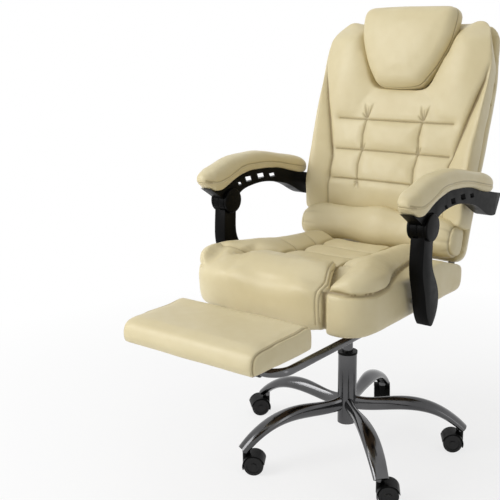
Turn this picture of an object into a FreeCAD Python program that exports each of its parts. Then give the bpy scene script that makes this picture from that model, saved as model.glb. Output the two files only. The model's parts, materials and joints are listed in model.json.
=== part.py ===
import FreeCAD, Part
import math
import os
import re
import Sketcher
from FreeCAD import Placement, Rotation, Vector

# Office chair with a pull-out footrest, in millimetres.
# The origin is on the floor under the column. The sitter faces -Y and has +X on the left.

doc = FreeCAD.newDocument("office_chair_with_footrest")
sizes = doc.addObject("Spreadsheet::Sheet", "sizes")

DRIVING_SIZES = [
    # Column and gas spring
    ("tube_radius", 25.0, "outer radius of the column tube"),
    ("tube_wall", 2.0, "wall of the column tube"),
    ("tube_bottom", 68.0, "underside of the column tube above the floor"),
    ("tube_top", 262.0, "upper rim of the column tube"),
    ("tube_floor", 4.0, "thickness of the plate that closes the tube"),
    ("running_gap", 0.05, "radial clearance of a turning or sliding fit"),
    ("seat_gap", 0.3, "clearance between pieces that pass each other"),
    ("bush_flange", 6.0, "height of the bush rim above the tube"),
    ("bush_depth", 52.0, "length of the bush inside the tube"),
    ("bush_lip", 1.2, "how far the bush rim stands past the tube"),
    ("cylinder_radius", 14.0, "outer radius of the gas cylinder"),
    ("cylinder_bore", 10.0, "bore of the gas cylinder"),
    ("cylinder_cap", 10.0, "thickness of the lower cylinder cap"),
    ("cylinder_bottom", 186.0, "lower end of the gas cylinder"),
    ("cylinder_top", 424.0, "upper end of the gas cylinder"),
    ("cylinder_cavity", 150.0, "length of the bore in the gas cylinder"),
    ("rod_radius", 5.0, "radius of the piston rod"),
    ("piston_height", 10.0, "height of the piston"),
    ("bearing_height", 7.0, "height of the thrust bearing"),
    ("bearing_radius", 13.0, "outer radius of the thrust bearing"),
    ("clip_radius", 9.0, "outer radius of the rod clip"),
    ("clip_height", 3.0, "thickness of the rod clip"),
    # Five legs
    ("leg_reach", 301.0, "distance from the column to each caster stem"),
    ("leg_height", 124.0, "height of the middle of a leg at the column"),
    ("leg_width", 26.0, "width of a leg at the column"),
    ("leg_depth", 40.0, "height of the section of a leg at the column"),
    ("leg_wall", 2.0, "wall of the leg tube"),
    ("knee_reach", 215.0, "distance from the column to the bend of a leg"),
    ("knee_width", 44.0, "width of a leg at its bend"),
    ("knee_depth", 31.0, "height of the section of a leg at its bend"),
    ("foot_width", 38.0, "width of a leg at its end"),
    ("foot_depth", 21.0, "height of the section of a leg at its end"),
    ("foot_height", 70.0, "height of the middle of a leg at its end"),
    ("first_leg", -24.5, "angle of the first leg from the front"),
    ("socket_radius", 10.0, "outer radius of the stem socket in a leg"),
    ("socket_bottom", 55.0, "mouth of the stem socket above the floor"),
    ("socket_depth", 20.0, "depth of the stem socket"),
    # Casters
    ("wheel_radius", 25.0, "radius of a caster wheel"),
    ("wheel_width", 19.0, "width of a caster wheel"),
    ("web_width", 7.0, "width of the housing between the two wheels"),
    ("wheel_gap", 0.5, "side clearance of a wheel"),
    ("trail", 20.0, "distance from the swivel axis to the axle"),
    ("hood_gap", 1.2, "clearance between the hood and the wheels"),
    ("hood_wall", 2.2, "wall of the hood"),
    ("stem_radius", 5.5, "radius of the swivel stem"),
    ("stem_foot", 46.5, "lower end of the swivel stem above the floor"),
    ("axle_radius", 3.0, "radius of the wheel axle"),
    ("neck_radius", 9.5, "radius of the neck of the housing"),
    # Seat
    ("seat_bottom", 440.0, "underside of the seat sides above the floor"),
    ("seat_recess", 12.0, "how far the seat board lies above the seat sides"),
    ("board_thickness", 12.0, "thickness of the seat board"),
    ("board_half", 228.0, "half width of the seat board"),
    ("board_front", 284.0, "reach of the seat board in front of the column"),
    ("board_rear", 138.0, "reach of the seat board behind the column"),
    ("seat_half", 248.0, "half width of the seat"),
    ("seat_front", 334.0, "reach of the seat sides in front of the column"),
    ("seat_rear", 165.0, "reach of the seat behind the column"),
    ("side_height", 96.0, "height of the seat sides up to their seam"),
    ("gusset_half", 146.0, "half width of the front panel of the seat"),
    ("middle_half", 82.0, "half width of the middle seat cushion behind its front panel"),
    ("panel_rear", 186.0, "rear end of the front panel in front of the column"),
    ("cushion_rear", 76.0, "reach of the seat cushions behind the column"),
    ("centre_crown", 44.0, "height of the middle cushion over the sides"),
    ("bolster_crown", 46.0, "height of the side cushions over the sides"),
    ("roll_reach", 22.0, "how far the front roll stands past the sides"),
    ("roll_depth", 52.0, "thickness of the front roll"),
    # Steel work under the seat
    ("mechanism_half", 45.0, "half width of the mechanism box"),
    ("mechanism_length", 150.0, "length of the mechanism box"),
    ("mechanism_depth", 50.0, "height of the mechanism box"),
    ("plate_thickness", 4.0, "thickness of the steel plates"),
    ("plate_half", 78.0, "half width of the mounting plate"),
    ("plate_length", 210.0, "length of the mounting plate"),
    ("lever_radius", 4.5, "radius of the height lever"),
    ("lever_across", 20.0, "height lever behind the column"),
    ("lever_reach", 292.0, "reach of the height lever to the side"),
    ("lever_below_board", 20.0, "height lever under the seat board"),
    ("lever_drop", 16.0, "how far the outer part of the lever hangs lower"),
    ("bolt_radius", 4.0, "radius of the seat bolts"),
    ("bolt_head_radius", 7.0, "radius of the bolt heads"),
    ("bolt_head_height", 4.0, "height of the bolt heads"),
    # Footrest
    ("rail_radius", 9.5, "radius of the footrest tube"),
    ("rail_wall", 1.5, "wall of the footrest tube"),
    ("rail_half", 168.0, "half distance between the footrest rails"),
    ("rail_height", 412.0, "height of the footrest tube above the floor"),
    ("rail_bend", 42.0, "bend radius of the footrest tube"),
    ("rail_front", 524.0, "reach of the cross tube in front of the column"),
    ("rail_end", 108.0, "rear end of the rails in front of the column"),
    ("guide_front", 190.0, "front end of the rail guides"),
    ("guide_length", 64.0, "length of the rail guides"),
    ("guide_wall", 3.5, "wall of the rail guides"),
    ("foot_board_height", 437.0, "underside of the footrest board"),
    ("foot_board_thickness", 10.0, "thickness of the footrest board"),
    ("foot_board_margin", 14.0, "footrest pad past its board on each side"),
    ("foot_pad_half", 182.0, "half width of the footrest pad"),
    ("foot_pad_front", 620.0, "front face of the footrest pad"),
    ("foot_pad_length", 200.0, "length of the footrest pad"),
    ("foot_pad_height", 53.0, "height of the footrest pad"),
    ("foot_pad_corner", 25.0, "radius of the upper front edge of the footrest pad"),
    ("foot_pad_end", 6.0, "rounding of the flat ends of the footrest pad"),
    ("clip_across", 105.0, "footrest clips from the middle"),
    ("clip_width", 36.0, "width of a footrest clip"),
    # Backrest
    ("back_tilt", 17.1, "lean of the backrest from upright"),
    ("back_foot_rear", 220.0, "rear lower edge of the backrest behind the column"),
    ("back_foot_height", 489.0, "rear lower edge of the backrest above the floor"),
    ("back_length", 630.0, "length of the backrest along its lean"),
    ("back_half", 250.0, "largest half width of the backrest"),
    ("back_foot_half", 242.0, "half width of the backrest at its lower edge"),
    ("back_widest", 480.0, "where the backrest is widest along its lean"),
    ("shoulder_radius", 48.0, "corner radius of the shoulders"),
    ("rear_pad_depth", 48.0, "thickness of the rear padding"),
    ("back_board_depth", 12.0, "thickness of the back board"),
    ("back_board_half", 196.0, "half width of the back board"),
    ("back_board_start", 14.0, "lower edge of the back board"),
    ("back_board_end", 585.0, "upper edge of the back board"),
    ("lumbar_length", 104.0, "height of the lumbar roll along the lean"),
    ("lumbar_depth", 80.0, "thickness of the lumbar roll"),
    ("head_start", 431.0, "lower edge of the head pillow along the lean"),
    ("head_end", 656.0, "upper edge of the head pillow along the lean"),
    ("head_low_half", 82.0, "half width of the head pillow at its lower edge"),
    ("head_top_half", 146.0, "half width of the head pillow at its upper edge"),
    ("head_base", 76.0, "rear face of the head pillow from the rear of the back"),
    ("head_depth", 70.0, "thickness of the head pillow"),
    # Recline hinge
    ("hinge_rear", 188.0, "recline hinge behind the column"),
    ("hinge_height", 474.0, "recline hinge above the floor"),
    ("hinge_eye", 14.0, "radius of the bracket eyes"),
    ("hinge_pin", 5.0, "radius of the hinge pins"),
    ("release_length", 46.0, "length of the recline release lever"),
    # Arms
    ("arm_plane", 282.0, "middle of each arm from the middle of the chair"),
    ("arm_width", 34.0, "width of the arms and posts"),
    ("elbow_front", 147.0, "elbow joint in front of the column"),
    ("elbow_height", 663.0, "elbow joint above the floor"),
    ("elbow_radius", 31.0, "radius of the elbow joint"),
    ("elbow_pin", 6.0, "radius of the elbow pin"),
    ("elbow_play", 2.4, "radial room for the elbow pin in the arm"),
    ("elbow_cap", 8.0, "thickness of the caps on the elbow"),
    ("arm_pin_rear", 213.0, "rear arm pin behind the column"),
    ("arm_pin_height", 657.0, "rear arm pin above the floor"),
    ("post_pin_front", 122.0, "lower post pin in front of the column"),
    ("post_pin_height", 481.0, "lower post pin above the floor"),
    ("arm_pin_radius", 6.0, "radius of the arm pins"),
    ("arm_pad_half", 28.0, "half width of the arm pads"),
    ("arm_pad_height", 40.0, "height of the arm pads"),
    ("post_web", 4.0, "thickness of the brackets that carry the posts"),
]

LEG_COUNT = 5
# The back brackets: how deep they are and how far up the back they reach
BRACKET_DEPTH = 36.0
BRACKET_END = 176.0
# Room in front of the back board for the bracket eye around each arm pin
EYE_LIP = 9.0
# The sewn seams of the back lie this far from its middle
TUFT_ACROSS = 85.0
LEG_STEP = 360.0 / LEG_COUNT
# The direction in which each caster trails, in degrees from +X towards +Y
CASTER_TRAIL = [32.0, 32.0, 212.0, 122.0, 228.0]
SIDES = (("left", 1), ("right", -1))

for row, (alias, value, meaning) in enumerate(DRIVING_SIZES, start=1):
    sizes.set("A%d" % row, alias)
    sizes.set("B%d" % row, str(value))
    sizes.set("C%d" % row, meaning)
    sizes.setAlias("B%d" % row, alias)
doc.recompute()

ALIAS_PATTERN = re.compile(r"\b(" + "|".join(alias for alias, _, _ in DRIVING_SIZES) + r")\b")
ACROSS = Rotation(Vector(0, 1, 0), 90)
ALONG = Rotation(Vector(1, 0, 0), 90)
SIDE_VIEW = Rotation(Vector(1, 1, 1), 120)
nodes = []


def size(alias):
    """The value of one driving size."""
    return float(sizes.get(alias))


def bind(thing, property_name, text):
    """Tie a property to the driving sizes named in the text."""
    thing.setExpression(property_name, ALIAS_PATTERN.sub(r"sizes.\1", text))


def put(piece, at, turn=None):
    """Place a piece at a point given by three expressions."""
    if turn is not None:
        piece.Placement = Placement(Vector(), turn)
    for axis, text in zip("xyz", at):
        bind(piece, "Placement.Base." + axis, text)
    return piece


def cylinder(name, radius, height, at=("0", "0", "0"), turn=None):
    piece = doc.addObject("Part::Cylinder", name)
    bind(piece, "Radius", radius)
    bind(piece, "Height", height)
    return put(piece, at, turn)


def box(name, length, width, height, at):
    piece = doc.addObject("Part::Box", name)
    bind(piece, "Length", length)
    bind(piece, "Width", width)
    bind(piece, "Height", height)
    return put(piece, at)


def cut(name, base, tool):
    piece = doc.addObject("Part::Cut", name)
    piece.Base = base
    piece.Tool = tool
    return piece


def fuse(name, pieces):
    piece = doc.addObject("Part::MultiFuse", name)
    piece.Shapes = pieces
    return piece


def gather(name, pieces):
    """Separate solids that belong together, such as a pair of brackets."""
    piece = doc.addObject("Part::Compound", name)
    piece.Links = pieces
    return piece


def formed(name, shape, placement=Placement()):
    """A piece whose shape is worked out from sections."""
    piece = doc.addObject("Part::Feature", name)
    piece.Shape = shape
    piece.Placement = placement
    return piece


def node(label, piece):
    """Keep a finished sub-part under its own label."""
    piece.Label = label
    nodes.append(piece)
    return piece


def origin_plane(body, role):
    return next(item for item in body.Origin.OriginFeatures if item.Role == role)


def sketch_in(body, name, curves):
    sketch = body.newObject("Sketcher::SketchObject", name)
    sketch.AttachmentSupport = (origin_plane(body, "XY_Plane"), "")
    sketch.MapMode = "FlatFace"
    for curve in curves:
        sketch.addGeometry(curve, False)
    return sketch


def straight_edges(points):
    """Line segments that close a polygon of (y, z) points."""
    corners = [Vector(a, b, 0) for a, b in points]
    return [Part.LineSegment(start, end) for start, end in zip(corners, corners[1:] + corners[:1])]


def smooth_edge(points):
    """One smooth curve through (y, z) points."""
    curve = Part.BSplineCurve()
    curve.interpolate([Vector(a, b, 0) for a, b in points])
    return curve


def side_plate(name, curves, start, thickness, discs=(), holes=()):
    """A plate drawn from the side, with round eyes and round holes.

    A disc or a hole is (y, z, radius), where the radius is an expression."""
    body = doc.addObject("PartDesign::Body", name)
    outline = sketch_in(body, name + "_outline", curves)
    plate = body.newObject("PartDesign::Pad", name + "_plate")
    plate.Profile = outline
    bind(plate, "Length", thickness)
    for number, (y, z, radius) in enumerate(discs):
        drawn = sketch_in(body, "%s_disc_%d" % (name, number), [round_curve(y, z)])
        drawn.addConstraint(radius_constraint())
        bind(drawn, "Constraints[0]", radius)
        disc = body.newObject("PartDesign::Pad", "%s_eye_%d" % (name, number))
        disc.Profile = drawn
        bind(disc, "Length", thickness)
    doc.recompute()
    for number, (y, z, radius) in enumerate(holes):
        drawn = sketch_in(body, "%s_ring_%d" % (name, number), [round_curve(y, z)])
        drawn.addConstraint(radius_constraint())
        bind(drawn, "Constraints[0]", radius)
        hole = body.newObject("PartDesign::Pocket", "%s_hole_%d" % (name, number))
        hole.Profile = drawn
        hole.Type = "ThroughAll"
        hole.Reversed = True
    return put(body, (start, "0", "0"), SIDE_VIEW)


def round_curve(y, z):
    return Part.Circle(Vector(y, z, 0), Vector(0, 0, 1), 1.0)


def radius_constraint():
    return Sketcher.Constraint("Radius", 0, 1.0)


def rounded_wire(corners, placed):
    """A closed wire of lines and arcs.

    Each corner is (a, b, radius). The function placed turns (a, b) into a point in space."""
    count = len(corners)
    flats = [(a, b) for a, b, _ in corners]
    arcs = []
    for index, (a, b, radius) in enumerate(corners):
        before = flats[index - 1]
        after = flats[(index + 1) % count]
        to_before = unit(before[0] - a, before[1] - b)
        to_after = unit(after[0] - a, after[1] - b)
        half = 0.5 * math.acos(max(-1.0, min(1.0, to_before[0] * to_after[0] + to_before[1] * to_after[1])))
        reach = radius / math.tan(half)
        middle = unit(to_before[0] + to_after[0], to_before[1] + to_after[1])
        depth = radius / math.sin(half) - radius
        arcs.append((
            (a + reach * to_before[0], b + reach * to_before[1]),
            (a + depth * middle[0], b + depth * middle[1]),
            (a + reach * to_after[0], b + reach * to_after[1]),
        ))
    edges = []
    for index, (start, middle, end) in enumerate(arcs):
        following = arcs[(index + 1) % count][0]
        edges.append(Part.Arc(placed(*start), placed(*middle), placed(*end)).toShape())
        edges.append(Part.makeLine(placed(*end), placed(*following)))
    return Part.Wire(edges)


def unit(a, b):
    length = math.hypot(a, b)
    return a / length, b / length


def lofted(wires):
    return Part.makeLoft(wires, True, False)


def radial_turn(angle):
    """Turns the front direction to a leg's direction."""
    return Rotation(Vector(0, 0, 1), angle)


# Column: a steel tube with a floor, a plastic bush in its mouth and a gas spring inside

def make_column():
    outer = cylinder("tube_outside", "tube_radius", "tube_top - tube_bottom", ("0", "0", "tube_bottom"))
    inner = cylinder("tube_inside", "tube_radius - tube_wall", "tube_top - tube_bottom",
                     ("0", "0", "tube_bottom + tube_floor"))
    shell = cut("tube_shell", outer, inner)
    rod_hole = cylinder("tube_rod_hole", "rod_radius + running_gap", "3 * tube_floor",
                        ("0", "0", "tube_bottom - tube_floor"))
    node("column_tube", cut("column_tube", shell, rod_hole))

    rim = cylinder("bush_rim", "tube_radius + bush_lip", "bush_flange", ("0", "0", "tube_top"))
    sleeve = cylinder("bush_sleeve", "tube_radius - tube_wall", "bush_depth", ("0", "0", "tube_top - bush_depth"))
    bore = cylinder("bush_bore", "cylinder_radius + running_gap", "bush_depth + 2 * bush_flange",
                    ("0", "0", "tube_top - bush_depth - bush_flange / 2"))
    node("column_bush", cut("column_bush", fuse("bush_body", [rim, sleeve]), bore))

    ring = cylinder("bearing_ring", "bearing_radius", "bearing_height", ("0", "0", "tube_bottom + tube_floor"))
    hole = cylinder("bearing_hole", "rod_radius + running_gap", "bearing_height",
                    ("0", "0", "tube_bottom + tube_floor"))
    node("thrust_bearing", cut("thrust_bearing", ring, hole))


def make_piston_rod():
    """The rod stands on the thrust bearing and carries the piston inside the gas cylinder."""
    rod = cylinder("rod_bar", "rod_radius", "cylinder_bottom + cylinder_cap + seat_gap - tube_bottom + 2 * clip_height",
                   ("0", "0", "tube_bottom - 2 * clip_height"))
    shoulder = cylinder("rod_shoulder", "bearing_radius - 1", "clip_height",
                        ("0", "0", "tube_bottom + tube_floor + bearing_height + seat_gap"))
    piston = cylinder("rod_piston", "cylinder_bore - running_gap", "piston_height",
                      ("0", "0", "cylinder_bottom + cylinder_cap + seat_gap"))
    node("piston_rod", fuse("piston_rod", [rod, shoulder, piston]))
    ring = cylinder("clip_ring", "clip_radius", "clip_height", ("0", "0", "tube_bottom - clip_height - seat_gap"))
    hole = cylinder("clip_hole", "rod_radius", "clip_height", ("0", "0", "tube_bottom - clip_height - seat_gap"))
    node("rod_clip", cut("rod_clip", ring, hole))


def make_gas_cylinder():
    body = cylinder("cylinder_body", "cylinder_radius", "cylinder_top - cylinder_bottom",
                    ("0", "0", "cylinder_bottom"))
    cavity = cylinder("cylinder_cavity_space", "cylinder_bore", "cylinder_cavity",
                      ("0", "0", "cylinder_bottom + cylinder_cap"))
    mouth = cylinder("cylinder_mouth", "rod_radius + running_gap", "2 * cylinder_cap",
                     ("0", "0", "cylinder_bottom - cylinder_cap / 2"))
    valve = cylinder("valve_pin", "rod_radius", "4", ("0", "0", "cylinder_top"))
    hollow = cut("cylinder_hollow", body, cavity)
    node("gas_cylinder", fuse("gas_cylinder", [cut("cylinder_drilled", hollow, mouth), valve]))


# Legs: oval tubes that stand on edge at the column, widen at the bend and slope to the casters

def leg_sections(wall):
    """Ovals along one leg, each as (reach, height, slope, width, depth)."""
    start = size("tube_radius") * 0.7
    knee = size("knee_reach")
    foot = size("leg_reach")
    drop = size("leg_height") - size("foot_height")
    rows = [
        (start, size("leg_height"), 0.0, size("leg_width"), size("leg_depth")),
        (0.5 * knee, size("leg_height"), 0.0, size("leg_width") * 1.06, size("leg_depth") * 0.94),
        (knee, size("leg_height") - 0.09 * drop, -14.0, size("knee_width"), size("knee_depth")),
        (0.5 * (knee + foot), size("leg_height") - 0.42 * drop, -36.0, size("knee_width"),
         0.5 * (size("knee_depth") + size("foot_depth"))),
        (foot + 9.0, size("foot_height") - 8.0, -49.0, size("foot_width"), size("foot_depth")),
    ]
    return [(reach, height, slope, width - 2 * wall, depth - 2 * wall)
            for reach, height, slope, width, depth in rows]


def leg_oval(reach, height, slope, width, depth):
    """An oval across the leg. The leg runs towards the front, along -Y."""
    lean = math.radians(slope)
    along = Vector(0, -math.cos(lean), math.sin(lean))
    up = Vector(0, math.sin(lean), math.cos(lean))
    side = Vector(1, 0, 0)
    middle = Vector(0, -reach, height)
    if width >= depth:
        ellipse = Part.Ellipse(middle + side * (width / 2), middle + up * (depth / 2), middle)
    else:
        ellipse = Part.Ellipse(middle + up * (depth / 2), middle + side * (width / 2), middle)
    start = ellipse.parameter(middle + up * (depth / 2))
    edge = ellipse.toShape(start, start + 2 * math.pi)
    if edge.Curve.Axis.dot(along) < 0:
        edge.reverse()
    return Part.Wire([edge])


def leg_shape():
    skin = lofted([leg_oval(*row) for row in leg_sections(0.0)])
    hollow = lofted([leg_oval(*row) for row in leg_sections(size("leg_wall"))])
    foot_end = size("leg_reach") - size("socket_radius") - 6.0
    keep_end = Part.makeBox(200, 200, 200, Vector(-100, -foot_end - 200, 0))
    hollow = hollow.cut(keep_end)
    socket_height = size("foot_height") + 0.2 * size("foot_depth") - size("socket_bottom")
    reach = Vector(0, -size("leg_reach"), size("socket_bottom"))
    socket = Part.makeCylinder(size("socket_radius"), socket_height, reach)
    below = Part.makeBox(200, 200, size("socket_bottom"), Vector(-100, -size("leg_reach") - 100, 0))
    stem_hole = Part.makeCylinder(size("stem_radius") + size("running_gap"), size("socket_depth") + 5,
                                  reach - Vector(0, 0, 5))
    column = Part.makeCylinder(size("tube_radius"), 400, Vector(0, 0, 0))
    return skin.cut(hollow).fuse(socket).cut(below).cut(stem_hole).cut(column).removeSplitter()


def make_legs():
    form = leg_shape()
    for number in range(LEG_COUNT):
        turn = radial_turn(size("first_leg") + number * LEG_STEP)
        piece = formed("leg_%d" % (number + 1), form.copy(), Placement(Vector(), turn))
        node("leg_%d" % (number + 1), piece)


# Casters: a hooded housing, two steel pins and two wheels on one axle

def caster_placement(number):
    angle = math.radians(size("first_leg") + number * LEG_STEP)
    foot = Vector(size("leg_reach") * math.sin(angle), -size("leg_reach") * math.cos(angle), 0)
    return Placement(foot, Rotation(Vector(0, 0, 1), CASTER_TRAIL[number]))


def make_caster_forms():
    """One caster about its swivel axis. It trails along +X with its axle along Y."""
    half = "(web_width / 2 + wheel_gap + wheel_width + wheel_gap)"
    axle_at = ("trail", half, "wheel_radius")
    hood = cylinder("hood_block", "wheel_radius + hood_gap + hood_wall", "2 * " + half, axle_at, ALONG)
    left_room = cylinder("hood_left_room", "wheel_radius + hood_gap", "2 * wheel_width",
                         ("trail", "web_width / 2 + 2 * wheel_width", "wheel_radius"), ALONG)
    right_room = cylinder("hood_right_room", "wheel_radius + hood_gap", "2 * wheel_width",
                          ("trail", "-web_width / 2", "wheel_radius"), ALONG)
    neck = cylinder("hood_neck", "neck_radius", "socket_bottom - seat_gap - wheel_radius",
                    ("0", "0", "wheel_radius"))
    solid = fuse("hood_and_neck", [hood, neck])
    rooms = fuse("hood_rooms", [left_room, right_room])
    open_front = box("hood_open_front", "3 * wheel_radius", "6 * wheel_radius", "wheel_radius + 6",
                     ("trail + 3", "-3 * wheel_radius", "0"))
    open_below = box("hood_open_below", "6 * wheel_radius", "6 * wheel_radius", "2 * wheel_radius - 9",
                     ("-3 * wheel_radius", "-3 * wheel_radius", "-wheel_radius"))
    openings = fuse("hood_openings", [open_front, open_below])
    shell = cut("hood_shell", cut("hood_hollow", solid, rooms), openings)
    hub = cylinder("hood_hub", "3 * axle_radius", "web_width", ("trail", "web_width / 2", "wheel_radius"), ALONG)
    axle_hole = cylinder("hood_axle_hole", "axle_radius", "4 * web_width",
                         ("trail", "2 * web_width", "wheel_radius"), ALONG)
    stem_hole = cylinder("hood_stem_hole", "stem_radius", "60", ("0", "0", "stem_foot"))
    housing = cut("caster_housing_form", fuse("hood_with_hub", [shell, hub]),
                  fuse("housing_holes", [axle_hole, stem_hole]))

    stem = cylinder("stem_form", "stem_radius", "socket_bottom + socket_depth - seat_gap - stem_foot",
                    ("0", "0", "stem_foot"))
    axle = cylinder("axle_form", "axle_radius", "web_width + 2 * wheel_gap + 1.8 * wheel_width",
                    ("trail", "web_width / 2 + wheel_gap + 0.9 * wheel_width", "wheel_radius"), ALONG)
    pins = gather("caster_pins_form", [stem, axle])

    wheels = []
    for side, name in ((1, "left"), (-1, "right")):
        inner = "web_width / 2 + wheel_gap"
        start = inner + " + wheel_width" if side > 0 else "-(%s)" % inner
        tyre = cylinder("wheel_%s_tyre" % name, "wheel_radius", "wheel_width", ("trail", start, "wheel_radius"), ALONG)
        soft = doc.addObject("Part::Fillet", "wheel_%s_soft" % name)
        soft.Base = tyre
        doc.recompute()
        rims = [number + 1 for number, edge in enumerate(tyre.Shape.Edges)
                if isinstance(edge.Curve, Part.Circle)]
        soft.Edges = [(number, 2.5, 2.5) for number in rims]
        bore = cylinder("wheel_%s_bore" % name, "axle_radius + running_gap", "0.9 * wheel_width",
                        ("trail", inner + " + 0.9 * wheel_width" if side > 0 else "-(%s)" % inner,
                         "wheel_radius"), ALONG)
        face = "%s + wheel_width" % inner if side > 0 else "-(%s + wheel_width) + 2" % inner
        dish = cylinder("wheel_%s_dish" % name, "0.72 * wheel_radius", "2", ("trail", face, "wheel_radius"), ALONG)
        boss = cylinder("wheel_%s_boss" % name, "0.3 * wheel_radius", "2", ("trail", face, "wheel_radius"), ALONG)
        ring = cut("wheel_%s_ring" % name, dish, boss)
        wheels.append(cut("wheel_%s" % name, cut("wheel_%s_dished" % name, soft, ring), bore))
    return housing, pins, gather("caster_wheels_form", wheels)


def make_casters():
    housing, pins, wheels = make_caster_forms()
    doc.recompute()
    for number in range(LEG_COUNT):
        place = caster_placement(number)
        for kind, form in (("housing", housing), ("pins", pins), ("wheels", wheels)):
            name = "caster_%s_%d" % (kind, number + 1)
            node(name, formed(name, form.Shape.copy(), place))


# Seat: a board, a deep padded base, a middle cushion that rolls over the front and two side cushions

def plan_corners(half, front, rear, front_radius, rear_radius, inset):
    """The plan of a seat piece seen from above."""
    return [
        (half - inset, rear - inset, rear_radius),
        (-half + inset, rear - inset, rear_radius),
        (-half + inset, -front + inset, front_radius),
        (half - inset, -front + inset, front_radius),
    ]


def make_seat_board():
    body = doc.addObject("PartDesign::Body", "seat_board")
    half = size("board_half")
    front = -size("board_front")
    rear = size("board_rear")
    corner = 60.0
    outline = [(half, rear), (-half, rear), (-half, front + corner), (-half + corner, front),
               (half - corner, front), (half, front + corner)]
    sketch = sketch_in(body, "seat_board_outline", straight_edges(outline))
    plate = body.newObject("PartDesign::Pad", "seat_board_plate")
    plate.Profile = sketch
    bind(plate, "Length", "board_thickness")
    put(body, ("0", "0", "seat_bottom + seat_recess"))
    node("seat_board", body)
    return outline


def seat_slope():
    """The wedge above the line on which the backrest comes down on the seat."""
    tilt = math.radians(size("back_tilt"))
    gap = 4.0
    foot = Vector(0, size("back_foot_rear"), size("back_foot_height") - gap)
    slab = Part.makeBox(800, 400, 400, Vector(-400, -400, 0))
    slab.Placement = Placement(foot, Rotation(Vector(1, 0, 0), -math.degrees(tilt)))
    return slab


def make_seat_base(board_outline):
    bottom = size("seat_bottom")
    height = size("side_height")
    levels = [(0.0, 9.0), (0.1, 2.5), (0.5, 0.0), (0.9, 2.5), (1.0, 8.0)]
    wires = []
    for share, inset in levels:
        level = bottom + share * height
        corners = plan_corners(size("seat_half"), size("seat_front"), size("seat_rear"), 70.0, 26.0, inset)
        wires.append(rounded_wire(corners, lambda a, b, z=level: Vector(a, b, z)))
    shape = lofted(wires)
    gap = size("seat_gap")
    recess = bottom + size("seat_recess") + size("board_thickness") + gap
    pocket_wire = Part.makePolygon([Vector(a, b, bottom - 1) for a, b in board_outline + board_outline[:1]])
    pocket = Part.Face(pocket_wire.makeOffset2D(gap)).extrude(Vector(0, 0, recess - bottom + 1))
    roll_rear = -(size("seat_front") + size("roll_reach") - size("roll_depth"))
    roll_room = Part.makeBox(2 * size("gusset_half") + 2 * gap, 200, 400,
                             Vector(-size("gusset_half") - gap, roll_rear - 200 + 4 * gap, bottom - 50))
    shape = shape.cut(pocket).cut(roll_room).cut(seat_slope())
    for _, side in SIDES:
        shape = shape.cut(post_bracket_room(side))
        shape = shape.cut(post_pin_room(side))
    node("seat_base_pad", formed("seat_base_pad", shape))


def middle_profile(across, level, bulge):
    """The side view of the middle cushion at one distance from the middle."""
    top = level + size("centre_crown")
    dip = 22.0
    front = -(size("seat_front") + size("roll_reach"))
    rear = size("cushion_rear")
    roll_rear = front + size("roll_depth")
    low = size("seat_bottom") + 8.0
    drop = 16.0 * bulge
    return rounded_wire([
        (rear, level, 3.0),
        (rear - 3.0 * bulge, top - dip - 6.0 - 0.6 * drop, 8.0),
        (-size("panel_rear") + 20.0, top - dip - drop, 60.0),
        (front + 84.0, top + 6.0 - drop, 50.0),
        (front + 26.0, top - 22.0 - drop, 40.0),
        (front + 12.0 * bulge, level + 8.0, 36.0),
        (front + 8.0 + 9.0 * bulge, low + 10.0 * bulge, 16.0),
        (roll_rear, low + 6.0 * bulge, 4.0),
        (roll_rear, level, 2.0),
    ], lambda a, b: Vector(across, a, b))


def make_seat_middle():
    level = size("seat_bottom") + size("side_height") + size("seat_gap")
    half = size("gusset_half")
    stations = [(-1.0, 1.0), (-0.86, 0.28), (-0.45, 0.0), (0.45, 0.0), (0.86, 0.28), (1.0, 1.0)]
    wires = [middle_profile(share * half, level, bulge) for share, bulge in stations]
    shape = lofted(wires)
    narrow = size("middle_half")
    taper_front = -size("seat_front") + 20.0
    for _, side in SIDES:
        corners = [Vector(side * half, taper_front, 0), Vector(side * narrow, -size("panel_rear"), 0),
                   Vector(side * narrow, size("seat_rear"), 0), Vector(side * 2 * half, size("seat_rear"), 0),
                   Vector(side * 2 * half, taper_front, 0)]
        flank = Part.Face(Part.makePolygon(corners + corners[:1])).extrude(Vector(0, 0, 2 * level))
        shape = shape.cut(flank)
    node("seat_middle_cushion", formed("seat_middle_cushion", shape))


def bolster_profile(along, side, level, crown, outer, inner):
    """The front view of a side cushion at one distance from the front."""
    ridge = 0.35 * inner + 0.65 * outer
    return rounded_wire([
        (side * inner, level, 0.05 * crown),
        (side * inner, level + 0.2 * crown, 0.1 * crown),
        (side * ridge, level + 1.06 * crown, 0.5 * crown),
        (side * outer, level + 0.66 * crown, 0.34 * crown),
        (side * outer, level, 0.17 * crown),
    ], lambda a, b: Vector(a, along, b))


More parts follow.
